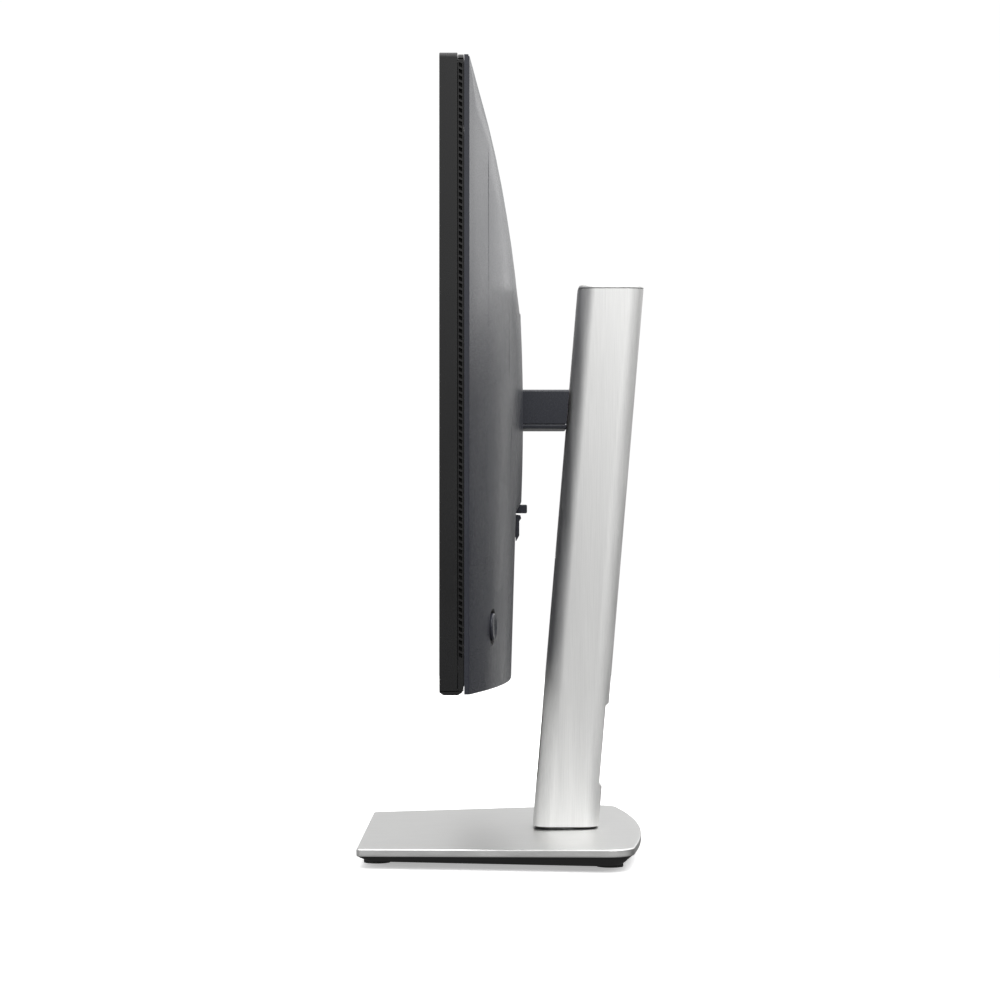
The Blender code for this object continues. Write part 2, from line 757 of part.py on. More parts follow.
def make_riser(riser):
    outer, inner = riser_section(), riser_section(RISER_WALL)
    shell = loft(
        [
            ring_at(outer, RISER_BOTTOM),
            ring_at(outer, SHELL_TOP),
            ring_at(inner, SHELL_TOP),
            ring_at(inner, RISER_BOTTOM),
        ],
        hollow=True,
    )
    shell_part = add_part("riser_shell", lean(shell), "aluminium", riser)
    out = RISER_DEPTH / 2
    front_slot = rounded_rectangle(SLOT_HALF, SLOT_LOW, SLOT_HIGH, SLOT_CORNER)
    cable_slot = rounded_rectangle(CABLE_SLOT_HALF, CABLE_SLOT_LOW, CABLE_SLOT_HIGH, CABLE_SLOT_CORNER)
    dish = [
        (out - CABLE_DISH_DEPTH, CABLE_SLOT_LOW + 0.0005),
        (out + 0.002, CABLE_SLOT_LOW - 0.0035),
        (out + 0.002, CABLE_SLOT_HIGH + 0.0035),
        (out - CABLE_DISH_DEPTH, CABLE_SLOT_HIGH + 0.0005),
    ]
    cut(shell_part, lean(extruded(front_slot, "Y", -out - 0.004, -out + RISER_WALL + 0.004)))
    cut(shell_part, lean(extruded(cable_slot, "Y", -out - 0.004, out + 0.004)))
    cut(shell_part, lean(extruded(dish, "X", -CABLE_DISH_HALF, CABLE_DISH_HALF)))

    guide_outer = rounded_rectangle(
        CABLE_SLOT_HALF - GAP, CABLE_SLOT_LOW + GAP, CABLE_SLOT_HIGH - GAP, CABLE_SLOT_CORNER - GAP
    )
    inset = GAP + GUIDE_WALL
    guide_inner = rounded_rectangle(
        CABLE_SLOT_HALF - inset, CABLE_SLOT_LOW + inset, CABLE_SLOT_HIGH - inset, CABLE_SLOT_CORNER - inset
    )
    front, back = -out + 0.0002, out - CABLE_DISH_DEPTH + 0.0002
    guide = loft(
        [
            [(x, front, z) for x, z in guide_outer],
            [(x, back, z) for x, z in guide_outer],
            [(x, back, z) for x, z in guide_inner],
            [(x, front, z) for x, z in guide_inner],
        ],
        hollow=True,
    )
    add_part("cable_guide", lean(guide), "black_plastic", riser)

    cap_low = SHELL_TOP + GAP
    cap_edge = RISER_TOP_Z - 0.0022
    cap = loft(
        [
            ring_at(outer, cap_low),
            ring_at(outer, cap_edge),
            ring_at(riser_section(0.0007), RISER_TOP_Z - 0.0008),
            ring_at(riser_section(0.0026), RISER_TOP_Z),
        ]
    )
    cap_part = add_part("riser_cap", lean(cap), "aluminium", riser)
    plug = riser_section(RISER_WALL + GAP)
    join(cap_part, lean(extruded(plug, "Z", SHELL_TOP - 0.0014, cap_edge)))

    gasket = add_part(
        "riser_gasket",
        lean(extruded(riser_section(0.0011), "Z", RISER_BOTTOM - 0.0008, RISER_BOTTOM - GAP)),
        "black_plastic",
        riser,
    )
    cut(gasket, rod((0, SWIVEL_Y, RISER_BOTTOM), POST_FLANGE_RADIUS + HOLE_GAP, 0.01))

    foot_section = riser_section(RISER_WALL + GAP)
    foot = add_part(
        "riser_foot", lean(extruded(foot_section, "Z", FOOT_PLATE_LOW, FOOT_PLATE_HIGH)), "steel", riser
    )
    lug_outer = COLUMN_HALF - COLUMN_WALL - GAP
    lugs = []
    for side in (-1, 1):
        x = sorted((side * lug_outer, side * (lug_outer - LUG_THICK)))
        lugs.append(block(x, (-0.007, 0.007), (FOOT_PLATE_HIGH - 0.001, FOOT_PLATE_HIGH + LUG_HEIGHT)))
    join(foot, lean(group(lugs)))
    cut(foot, rod((0, SWIVEL_Y, FOOT_PLATE_LOW), POST_RADIUS + HOLE_GAP, 0.05))

    centre = (0, SWIVEL_Y, WASHER_LOW + WASHER_THICK / 2)
    ring = washer(centre, POST_RADIUS + HOLE_GAP, POST_NECK_RADIUS, WASHER_THICK)
    add_part("swivel_washer", ring, "white_plastic", riser)

    wall = COLUMN_WALL
    channel = [
        (-COLUMN_HALF, COLUMN_FRONT),
        (-COLUMN_HALF + wall, COLUMN_FRONT),
        (-COLUMN_HALF + wall, COLUMN_BACK - wall),
        (COLUMN_HALF - wall, COLUMN_BACK - wall),
        (COLUMN_HALF - wall, COLUMN_FRONT),
        (COLUMN_HALF, COLUMN_FRONT),
        (COLUMN_HALF, COLUMN_BACK),
        (-COLUMN_HALF, COLUMN_BACK),
    ]
    column = add_part("column", lean(extruded(channel, "Z", COLUMN_LOW, COLUMN_HIGH)), "steel", riser)
    web_hole = rounded_rectangle(
        CABLE_SLOT_HALF, CABLE_SLOT_LOW, CABLE_SLOT_HIGH, CABLE_SLOT_CORNER
    )
    cut(column, lean(extruded(web_hole, "Y", COLUMN_BACK - 2 * wall, COLUMN_BACK + wall)))

    rail_low = ARM_Z - RAIL_LENGTH_BELOW
    rail_high = ARM_Z + RAIL_LENGTH_ABOVE
    back = lug_outer
    front = back - RAIL_DEEP
    groove = back - RAIL_WEB
    section = [
        (front, -RAIL_HALF),
        (back, -RAIL_HALF),
        (back, RAIL_HALF),
        (front, RAIL_HALF),
        (front, RAIL_GROOVE_HALF),
        (groove, RAIL_GROOVE_HALF),
        (groove, -RAIL_GROOVE_HALF),
        (front, -RAIL_GROOVE_HALF),
    ]
    for name, side in (("rail_right", 1), ("rail_left", -1)):
        rail = extruded([(side * x, y) for x, y in section], "Z", rail_low, rail_high)
        add_part(name, lean(rail), "steel", riser)

    tape_low = ARM_Z + LIFT_UP + 0.0165
    tape_y = (COLUMN_BACK - wall - GAP - TAPE_THICK, COLUMN_BACK - wall - GAP)
    tape = block((-COIL_HALF_WIDTH, COIL_HALF_WIDTH), tape_y, (tape_low - 0.018, COLUMN_HIGH - 0.002))
    add_part("spring_tape", lean(tape), "steel", riser)


# Arm, carriage and spring -----------------------------------------------------------


def make_arm(arm, drum):
    low, high = ARM_Z - CARRIAGE_BELOW, ARM_Z + CARRIAGE_ABOVE
    deep = CARRIAGE_HALF_DEPTH
    wall = CHEEK_WALL
    wall_low = DRUM_Z + COIL_RADIUS + 0.001
    front_wall = block((-CHEEK_HALF, CHEEK_HALF), (-deep, -deep + 0.003), (wall_low, high))
    carriage = add_part("carriage", lean(front_wall), "steel", arm)
    cheeks = []
    for side in (-1, 1):
        x = sorted((side * CHEEK_HALF, side * (CHEEK_HALF - wall)))
        cheeks.append(block(x, (-deep + 0.001, deep), (low, high)))
    join(carriage, lean(group(cheeks)))
    bury = 0.0007
    hub_x = (bury - CHEEK_HALF, CHEEK_HALF - bury)
    hub = block(hub_x, (2 * bury - deep, deep - bury), (wall_low + 2 * bury, ARM_Z + 0.011))
    join(carriage, lean(hub))
    axle_y = riser_y(0, DRUM_Z)
    cut(carriage, rod((0, axle_y, DRUM_Z), AXLE_RADIUS + HOLE_GAP, 0.06, "X", SMALL_SIDES))

    pad_in = CHEEK_HALF + GAP
    pad_out = COLUMN_HALF - COLUMN_WALL - GAP - RAIL_WEB - GAP
    half = RAIL_GROOVE_HALF - GAP
    for name, side in (("glide_pad_right", 1), ("glide_pad_left", -1)):
        x = sorted((side * pad_in, side * pad_out))
        add_part(name, lean(block(x, (-half, half), (low, high))), "white_plastic", arm)

    axle = rod((0, axle_y, DRUM_Z), AXLE_RADIUS, 2 * CHEEK_HALF - 0.0002, "X", 16)
    add_part("drum_axle", axle, "steel", arm)
    core = washer(
        (0, axle_y, DRUM_Z), AXLE_RADIUS + HOLE_GAP, COIL_CORE, 2 * COIL_HALF_WIDTH, "X", 24
    )
    add_part("spring_drum", core, "white_plastic", drum)
    coil = washer((0, axle_y, DRUM_Z), COIL_CORE + GAP, COIL_RADIUS, 2 * COIL_HALF_WIDTH - 0.001, "X", 28)
    add_part("spring_coil", coil, "steel", drum)

    beam_outline = [
        (TILT_Y, KNUCKLE_RADIUS * 0.98),
        (TILT_Y + 0.0075, BEAM_HALF_HEIGHT),
        (riser_y(-deep - GAP - FLANGE_THICK / 2, ARM_Z), BEAM_HALF_HEIGHT),
        (riser_y(-deep - GAP - FLANGE_THICK / 2, ARM_Z), -BEAM_HALF_HEIGHT),
        (TILT_Y + 0.0075, -BEAM_HALF_HEIGHT),
        (TILT_Y, -KNUCKLE_RADIUS * 0.98),
    ]
    beam = extruded([(y, ARM_Z + z) for y, z in beam_outline], "X", -BEAM_HALF, BEAM_HALF)
    bracket = add_part("arm_bracket", beam, "steel", arm)
    join(bracket, rod((0, TILT_Y, ARM_Z), KNUCKLE_RADIUS, 2 * KNUCKLE_HALF, "X", 24))
    flange = block(
        (-FLANGE_HALF, FLANGE_HALF),
        (-deep - GAP - FLANGE_THICK, -deep - GAP),
        (ARM_Z - FLANGE_HALF_HEIGHT, ARM_Z + FLANGE_HALF_HEIGHT),
    )
    join(bracket, lean(flange))
    cut(bracket, rod((0, TILT_Y, ARM_Z), PIN_RADIUS + HOLE_GAP, 0.05, "X", 16))

    bottom, top = ARM_Z - ARM_HEIGHT / 2, ARM_Z + ARM_HEIGHT / 2
    seam = bottom + ARM_SEAM
    end_v = -RISER_DEPTH / 2 - ARM_END_GAP

    def arm_length(outline):
        near = [(x, ARM_FRONT_Y, z) for x, z in outline]
        far = [(x, riser_y(end_v, z), z) for x, z in outline]
        return loft([near, far])

    radius = ARM_CORNER
    quarter = math.pi / 2
    upper = [(ARM_HALF, seam)] + arc((ARM_HALF - radius, top - radius), radius, 0, quarter, 3)
    upper += arc((radius - ARM_HALF, top - radius), radius, quarter, 2 * quarter, 3)
    upper += [
        (-ARM_HALF, seam),
        (ARM_WALL - ARM_HALF, seam),
        (ARM_WALL - ARM_HALF, top - ARM_WALL),
        (ARM_HALF - ARM_WALL, top - ARM_WALL),
        (ARM_HALF - ARM_WALL, seam),
    ]
    add_part("arm_cover_upper", arm_length(upper), "dark_shell", arm)
    split = seam - GAP
    lower = [(-ARM_HALF, split)] + arc(
        (radius - ARM_HALF, bottom + radius), radius, 2 * quarter, 3 * quarter, 3
    )
    lower += arc((ARM_HALF - radius, bottom + radius), radius, -quarter, 0, 3)
    lower += [
        (ARM_HALF, split),
        (ARM_HALF - ARM_WALL, split),
        (ARM_HALF - ARM_WALL, bottom + ARM_WALL),
        (ARM_WALL - ARM_HALF, bottom + ARM_WALL),
        (ARM_WALL - ARM_HALF, split),
    ]
    add_part("arm_cover_lower", arm_length(lower), "dark_shell", arm)


# Quick-release plate and tilt hinge ---------------------------------------------------


def mount_face(z):
    """Y of the quick-release plate's cover, which is slightly crowned."""
    return MOUNT_FACE_Y - (z - MOUNT_CROWN_Z) ** 2 / (2 * MOUNT_CROWN_RADIUS)


def arm_opening():
    """Half-width and the reach below and above the arm that the tilting plate leaves free."""
    out = MOUNT_FACE_Y - TILT_Y
    half = ARM_HEIGHT / 2
    up = half / math.cos(TILT_BACK) + out * math.tan(TILT_BACK) + 0.0008
    down = half / math.cos(TILT_FORWARD) + out * math.tan(TILT_FORWARD) + 0.0008
    return ARM_HALF + 0.0014, down, up


def make_mount(head):
    low, high = ARM_Z - MOUNT_HALF, ARM_Z + MOUNT_HALF
    steps = 8
    heights = [low + (high - low) * i / steps for i in range(steps + 1)]
    inside = MOUNT_FACE_Y - MOUNT_DEPTH
    wall = MOUNT_COVER_THICK
    outline = [(inside, low)] + [(mount_face(z), z) for z in heights] + [(inside, high)]
    cover = add_part("mount_cover", extruded(outline, "X", -MOUNT_HALF, MOUNT_HALF), "dark_shell", head)
    hollow = [(inside - 0.002, low + wall)]
    hollow += [(mount_face(z) - wall, min(max(z, low + wall), high - wall)) for z in heights]
    hollow += [(inside - 0.002, high - wall)]
    inner = MOUNT_HALF - wall
    cut(cover, extruded(hollow, "X", -inner, inner))
    half, down, up = arm_opening()
    cut(cover, block((-half, half), (0.004, 0.020), (ARM_Z - down, ARM_Z + up)))

    plate_half = MOUNT_HALF - wall - GAP
    add_part(
        "mount_plate",
        block(
            (-plate_half, plate_half),
            (MOUNT_PLATE_FRONT, MOUNT_PLATE_BACK),
            (ARM_Z - plate_half, ARM_Z + plate_half),
        ),
        "steel",
        head,
    )
    disc_middle = (0, DISC_FRONT + DISC_THICK / 2, ARM_Z)
    add_part("pivot_disc", rod(disc_middle, DISC_RADIUS, DISC_THICK, "Y", 40), "steel", head)
    add_part(
        "pivot_ring",
        washer(disc_middle, DISC_RADIUS + GAP, DISC_RADIUS + RING_WIDTH, DISC_THICK, "Y", 40),
        "white_plastic",
        head,
    )
    base_back = DISC_BACK + GAP + BRACKET_THICK
    ear_in = KNUCKLE_HALF + 2 * GAP + FRICTION_WASHER
    bracket = add_part(
        "tilt_bracket",
        block(
            (-BRACKET_HALF[0], BRACKET_HALF[0]),
            (DISC_BACK + GAP, base_back),
            (ARM_Z - BRACKET_HALF[1], ARM_Z + BRACKET_HALF[1]),
        ),
        "steel",
        head,
    )
    window_x = ear_in + EAR_THICK + GAP + PIN_HEAD + HOLE_GAP
    window_z = (ARM_Z - EAR_WINDOW, ARM_Z + EAR_WINDOW)
    cut(bracket, block((-window_x, window_x), (DISC_FRONT, TILT_Y), window_z))
    ear_foot, ear_tip = EAR_WINDOW + EAR_THICK, EAR_HALF_HEIGHT
    ear_outline = [
        (base_back - 0.001, -ear_foot),
        (base_back + 0.0005, -ear_foot),
        (TILT_Y + EAR_REACH, -ear_tip),
        (TILT_Y + EAR_REACH, ear_tip),
        (base_back + 0.0005, ear_foot),
        (base_back - 0.001, ear_foot),
    ]
    ears = []
    for side in (-1, 1):
        x = sorted((side * ear_in, side * (ear_in + EAR_THICK)))
        ears.append(extruded([(y, ARM_Z + z) for y, z in ear_outline], "X", *x))
    join(bracket, group(ears))
    cut(bracket, rod((0, TILT_Y, ARM_Z), PIN_RADIUS + HOLE_GAP, 0.06, "X", 16))

    head_in = ear_in + EAR_THICK + GAP
    pin = [
        (0, -head_in - PIN_HEAD),
        (PIN_HEAD_RADIUS, -head_in - PIN_HEAD),
        (PIN_HEAD_RADIUS, -head_in),
        (PIN_RADIUS, -head_in),
        (PIN_RADIUS, head_in),
        (PIN_HEAD_RADIUS, head_in),
        (PIN_HEAD_RADIUS, head_in + PIN_HEAD),
        (0, head_in + PIN_HEAD),
    ]
    add_part("tilt_pin", turned(pin, (0, TILT_Y, ARM_Z), "X", 24), "steel", head)
    for name, side in (("friction_washer_right", 1), ("friction_washer_left", -1)):
        middle = (side * (KNUCKLE_HALF + GAP + FRICTION_WASHER / 2), TILT_Y, ARM_Z)
        ring = washer(middle, PIN_RADIUS + HOLE_GAP, KNUCKLE_RADIUS, FRICTION_WASHER, "X", 24)
        add_part(name, ring, "white_plastic", head)


# Head -------------------------------------------------------------------------------


def band_outline(inset, wall, low):
    """A U-shaped band down both sides and over the top of the head."""
    outer, top = HEAD_HALF - inset, HEAD_TOP - inset
    radius = FRAME_CORNER
    quarter = math.pi / 2
    points = [(outer, low)] + arc((outer - radius, top - radius), radius, 0, quarter, 4)
    points += arc((radius - outer, top - radius), radius, quarter, 2 * quarter, 4)
    points += [(-outer, low), (wall - outer, low), (wall - outer, top - wall)]
    return points + [(outer - wall, top - wall), (outer - wall, low)]


def make_frame(head):
    wall = band_outline(0, FRAME_WALL, SIDE_BOTTOM)
    frame = add_part("front_frame", extruded(wall, "Y", HEAD_FRONT, FRAME_BACK), "black_frame", head)
    flange = band_outline(FRAME_WALL / 2, FRAME_FLANGE, SIDE_BOTTOM + 0.004)
    join(frame, extruded(flange, "Y", FRAME_BACK - FRAME_FLANGE_THICK, FRAME_BACK))
    front, back = HEAD_FRONT, HEAD_FRONT + CHIN_DEPTH
    bottom, seat = HEAD_BOTTOM, SIDE_BOTTOM - GAP
    sole = [
        (front, seat),
        (front, bottom + CHIN_RISE),
        (front + CHIN_CHAMFER, bottom),
        (back - CHIN_CHAMFER, bottom),
        (back, bottom + CHIN_RISE),
        (back, seat),
    ]
    chin = add_part("chin_strip", extruded(sole, "X", -HEAD_HALF, HEAD_HALF), "black_frame", head)
    face_half = HEAD_HALF - FRAME_WALL - GAP
    face_back = front + CHIN_FACE_THICK
    face = [(front, seat - GAP), (front, CHIN_TOP), (face_back, CHIN_TOP), (face_back, seat - GAP)]
    join(chin, extruded(face, "X", -face_half, face_half))
    slot_half = (BUTTON_HALF[0] + GAP, BUTTON_HALF[1] + GAP, 0.01)
    button_y = (front + back) / 2
    cut(chin, centred_block((BUTTON_X, button_y, bottom), slot_half))


def make_panel(head):
    half, low, high = PANEL_HALF, PANEL_BOTTOM, PANEL_TOP
    panel = block((-half, half), (PANEL_FRONT, PANEL_FRONT + PANEL_THICK), (low, high))
    add_part("lcd_panel", panel, "screen_glass", head)
    inset = 0.001
    span = (-half + inset, half - inset)
    unit = block(span, (BACKLIGHT_FRONT, BACKLIGHT_FRONT + BACKLIGHT_THICK), (low + inset, high - inset))
    add_part("backlight_unit", unit, "white_plastic", head)
    limit = HEAD_HALF - FRAME_WALL - GAP
    flange_front = FRAME_BACK - FRAME_FLANGE_THICK
    deep = min(SHEET_BACK, flange_front - GAP)
    sheet = block((-limit + inset, limit - inset), (deep - TRAY_SHEET, deep), (low, high))
    add_part("panel_tray", sheet, "steel", head)
    return deep


def make_vents(head):
    """Slotted strips down each side, with slanted ribs, and a plain one over the top."""
    front, back = FRAME_BACK + GAP, RIM_FRONT
    outer = HEAD_HALF - VENT_INSET
    face = outer - VENT_TOOTH
    inner = face - VENT_WALL
    top = HEAD_TOP - VENT_INSET
    strip_top = top - VENT_TOOTH - VENT_WALL
    strip_low = SIDE_BOTTOM
    vent_low = HEAD_BOTTOM + VENT_BOTTOM_MARGIN
    vent_high = HEAD_TOP - VENT_TOP_MARGIN
    count = int((vent_high - vent_low) / VENT_PITCH)
    slant = VENT_SLANT / (back - front)
    combs = []
    for side in (-1, 1):
        outline = [(inner, strip_low), (outer, strip_low)]
        for i in range(count):
            start = vent_low + i * VENT_PITCH
            end = start + VENT_PITCH - VENT_RIB
            outline += [(outer, start), (face, start), (face, end), (outer, end)]
        outline += [(outer, strip_top), (inner, strip_top)]
        strip = extruded([(side * x, z) for x, z in outline], "Y", front, back)
        for vert in strip.verts:
            if vent_low - GAP < vert.co.z < strip_top - GAP:
                vert.co.z -= (vert.co.y - front) * slant
        combs.append(strip)
    radius = FRAME_CORNER
    quarter = math.pi / 2
    low = strip_top - VENT_WALL
    outline = [(outer, low)] + arc((outer - radius, top - radius), radius, 0, quarter, 4)
    outline += arc((radius - outer, top - radius), radius, quarter, 2 * quarter, 4)
    outline += [(-outer, low)]
    band = add_part("vent_band", extruded(outline, "Y", front, back), "black_frame", head)
    join(band, group(combs))


def smooth_step(low, high, value):
    share = min(max((value - low) / (high - low), 0), 1)
    return share * share * (3 - 2 * share)


def crown(x, z):
    """Y of the rear cover's smooth crown, which rises from the sides and the top."""
    side = min(max((COVER_HALF - abs(x)) / CROWN_SIDE_RUN, 0), 1)
    top = min(max((COVER_TOP - z) / CROWN_TOP_RUN, 0), 1)
    rise_side = 1 - (1 - side) ** CROWN_SIDE_POWER
    rise_top = 1 - (1 - top) ** CROWN_TOP_POWER
    if min(rise_side, rise_top) < 1e-4:
        return CROWN_START
    knee = COVER_TOP - CROWN_TOP_RUN
    lower = min(max((knee - z) / (knee - COVER_BOTTOM), 0), 1) ** CROWN_LOW_POWER
    height = CROWN_HIGH - (CROWN_HIGH - CROWN_LOW) * lower
    blend = rise_side**-CROWN_BLEND + rise_top**-CROWN_BLEND - 1
    return CROWN_START + height * blend ** (-1 / CROWN_BLEND)


def cover_surface(x, z):
    """The crown, with a nearly flat pad round the quick-release plate."""
    base = crown(x, z)
    share = 1 - smooth_step(PAD_HALF, PAD_HALF + PAD_FADE, abs(x))
    share *= 1 - smooth_step(*PAD_TOP_FADE, z)
    share *= smooth_step(*PAD_BOTTOM_FADE, z)
    return base + max(mount_face(z) - base, 0) * share


def spread(low, high, count, extra=()):
    """Even steps between two ends, with extra values in place of the steps next to them."""
    near = (high - low) / count / 3
    steps = [low + (high - low) * i / count for i in range(1, count)]
    steps = [step for step in steps if all(abs(step - value) > near for value in extra)]
    return sorted([low, high, *steps, *extra])


def make_cover(head):
    edge = (COVER_HALF - 0.006, COVER_HALF - 0.014)
    wanted = [PAD_HALF, PAD_HALF + PAD_FADE, *edge]
    columns = spread(-COVER_HALF, COVER_HALF, COVER_COLUMNS, [s * w for w in wanted for s in (-1, 1)])
    wanted = [COVER_TOP - 0.005, COVER_TOP - 0.012, *PAD_BOTTOM_FADE, *PAD_TOP_FADE]
    rows = spread(COVER_BOTTOM, COVER_TOP, COVER_ROWS, wanted)
    grid = [[(x, cover_surface(x, z), z) for x in columns] for z in rows]
    shape = bmesh.new()
    lip = RIM_FRONT + GAP
    lines = [[(x, lip, COVER_BOTTOM) for x in columns]] + grid + [[(x, lip, COVER_TOP) for x in columns]]
    for line in lines[1:-1]:
        line.insert(0, (-COVER_HALF, lip, line[0][2]))
        line.append((COVER_HALF, lip, line[-1][2]))
    for line in (lines[0], lines[-1]):
        line.insert(0, None)
        line.append(None)
    verts = [[point and shape.verts.new(point) for point in line] for line in lines]
    for lower, upper in zip(verts, verts[1:]):
        for i in range(len(lower) - 1):
            corners = (lower[i], lower[i + 1], upper[i + 1], upper[i])
            if all(corners):
                shape.faces.new(corners)
    bmesh.ops.remove_doubles(shape, verts=shape.verts, dist=0.00001)
    bmesh.ops.reverse_faces(shape, faces=shape.faces)
    cover = add_part("rear_cover", shape, "dark_shell", head)
    solidify = cover.modifiers.new("Solidify", "SOLIDIFY")
    solidify.thickness = COVER_WALL
    solidify.offset = -1
    solidify.use_even_offset = True
    hole = MOUNT_HALF + GAP
    cut(cover, block((-hole, hole), (-0.015, 0.03), (ARM_Z - hole, ARM_Z + hole)))
    nub = [h + GAP for h in RELEASE_HALF]
    openings = [
        block((-nub[0], nub[0]), (-0.01, 0.02), (RELEASE_Z - nub[1], RELEASE_Z + nub[1])),
        block(
            (-ESCUTCHEON_HALF + 0.001, ESCUTCHEON_HALF - 0.001),
            (-0.01, 0.02),
            (ESCUTCHEON_LOW + 0.002, ESCUTCHEON_HIGH - 0.002),
        ),
        block((-IO_HALF + 0.002, IO_HALF - 0.002), IO_MOUTH_Y, (HEAD_BOTTOM - 0.005, HEAD_BOTTOM + 0.006)),
    ]
    cut(cover, group(openings))
    well = rod((0, 0, 0), JOY_HOLE, 0.02, "Y")
    well.transform(joystick_frame())
    cut(cover, well)


def make_release(head, release, latch):
    seat = ESCUTCHEON_FACE_Y - 0.0024
    outline = [
        (seat, ESCUTCHEON_LOW),
        (seat + 0.0004, ESCUTCHEON_LOW),
        (ESCUTCHEON_FACE_Y, ESCUTCHEON_LOW + 0.0036),
        (ESCUTCHEON_FACE_Y, ESCUTCHEON_HIGH - 0.0044),
        (ESCUTCHEON_LIP_Y, ESCUTCHEON_HIGH - 0.0026),
        (ESCUTCHEON_LIP_Y - 0.0006, ESCUTCHEON_HIGH - 0.0004),
        (seat, ESCUTCHEON_HIGH),
    ]
    trim = add_part(
        "release_escutcheon", extruded(outline, "X", -ESCUTCHEON_HALF, ESCUTCHEON_HALF), "dark_shell", head
    )
    stub = block(
        (-ESCUTCHEON_HALF + 0.0014, ESCUTCHEON_HALF - 0.0014),
        (seat - 0.004, seat + 0.0003),
        (ESCUTCHEON_LOW + 0.0024, ESCUTCHEON_HIGH - 0.0024),
    )
    join(trim, stub)
    half = RELEASE_HALF
    nub = block((-half[0], half[0]), (RELEASE_IN, RELEASE_OUT), (RELEASE_Z - half[1], RELEASE_Z + half[1]))
    bmesh.ops.bevel(nub, geom=list(nub.edges), offset=0.0005, segments=1, affect="EDGES")
    add_part("release_button", nub, "dark_shell", release)
    gap_below = RELEASE_IN - RELEASE_TRAVEL - GAP
    plate_high = ARM_Z - MOUNT_HALF - GAP
    latch_shape = block(
        (-LATCH_HALF, LATCH_HALF),
        (gap_below - LATCH_THICK, gap_below),
        (plate_high - LATCH_HEIGHT, plate_high),
    )
    add_part("latch_plate", latch_shape, "steel", latch)


def joystick_frame():
    """The place and slope of the rear cover where the joystick sits."""
    step = 0.001
    rise = (cover_surface(JOY_X + step, JOY_Z) - cover_surface(JOY_X - step, JOY_Z)) / (2 * step)
    place = Matrix.Translation((JOY_X, cover_surface(JOY_X, JOY_Z), JOY_Z))
    return place @ Matrix.Rotation(math.atan(rise), 4, "Z")


def make_joystick(head, ring, cross, stick):
    frame = joystick_frame()
    outer = JOY_HOLE - GAP
    rim = [
        (outer, -0.0001),
        (outer, -JOY_DISH - 0.0012),
        (JOY_DISH_FLOOR - 0.001, -JOY_DISH - 0.0012),
        (JOY_DISH_FLOOR - 0.001, -JOY_DISH),
        (JOY_CAP + 0.0009, -JOY_DISH),
        (outer - 0.0006, -0.0001),
    ]
    dish = turned(rim, (0, 0, 0), "Y", closed=True)
    dish.transform(frame)
    add_part("joystick_dish", dish, "black_plastic", head)
    gimbal_y = -JOY_DISH - JOY_GIMBAL
    hoop = turned(
        [(0.0034, -0.0008), (0.0046, -0.0008), (0.0046, 0.0008), (0.0034, 0.0008)],
        (0, gimbal_y, 0),
        "Y",
        24,
        closed=True,
    )
    hoop.transform(frame)
    add_part("joystick_ring", hoop, "white_plastic", ring)
    inner = turned(
        [(0.0020, -0.0008), (0.0031, -0.0008), (0.0031, 0.0008), (0.0020, 0.0008)],
        (0, gimbal_y, 0),
        "Y",
        24,
        closed=True,
    )
    inner.transform(frame)
    add_part("joystick_cross", inner, "white_plastic", cross)
    profile = [
        (0, JOY_PROUD - 0.0006),
        (JOY_CAP * 0.6, JOY_PROUD - 0.0003),
        (JOY_CAP - 0.0008, JOY_PROUD),
        (JOY_CAP, JOY_PROUD - 0.0006),
        (JOY_CAP, JOY_PROUD - 0.0022),
        (JOY_STEM + 0.001, JOY_PROUD - 0.0032),
        (JOY_STEM, JOY_PROUD - 0.0042),
        (JOY_STEM, gimbal_y - 0.0012),
        (0, gimbal_y - 0.0012),
    ]
    cap = turned(profile, (0, 0, 0), "Y")
    cap.transform(frame)
    add_part("joystick_cap", cap, "dark_shell", stick)


def cup(size, x, y, low, wall):
    """A socket that opens downwards."""
    width, depth, height = size[0] / 2, size[1] / 2, size[2]

    def ring(inset, z):
        w, d = width - inset, depth - inset
        return [(x - w, y - d, z), (x + w, y - d, z), (x + w, y + d, z), (x - w, y + d, z)]

    return loft([ring(0, low + height), ring(0, low), ring(wall, low), ring(wall, low + height - wall)])


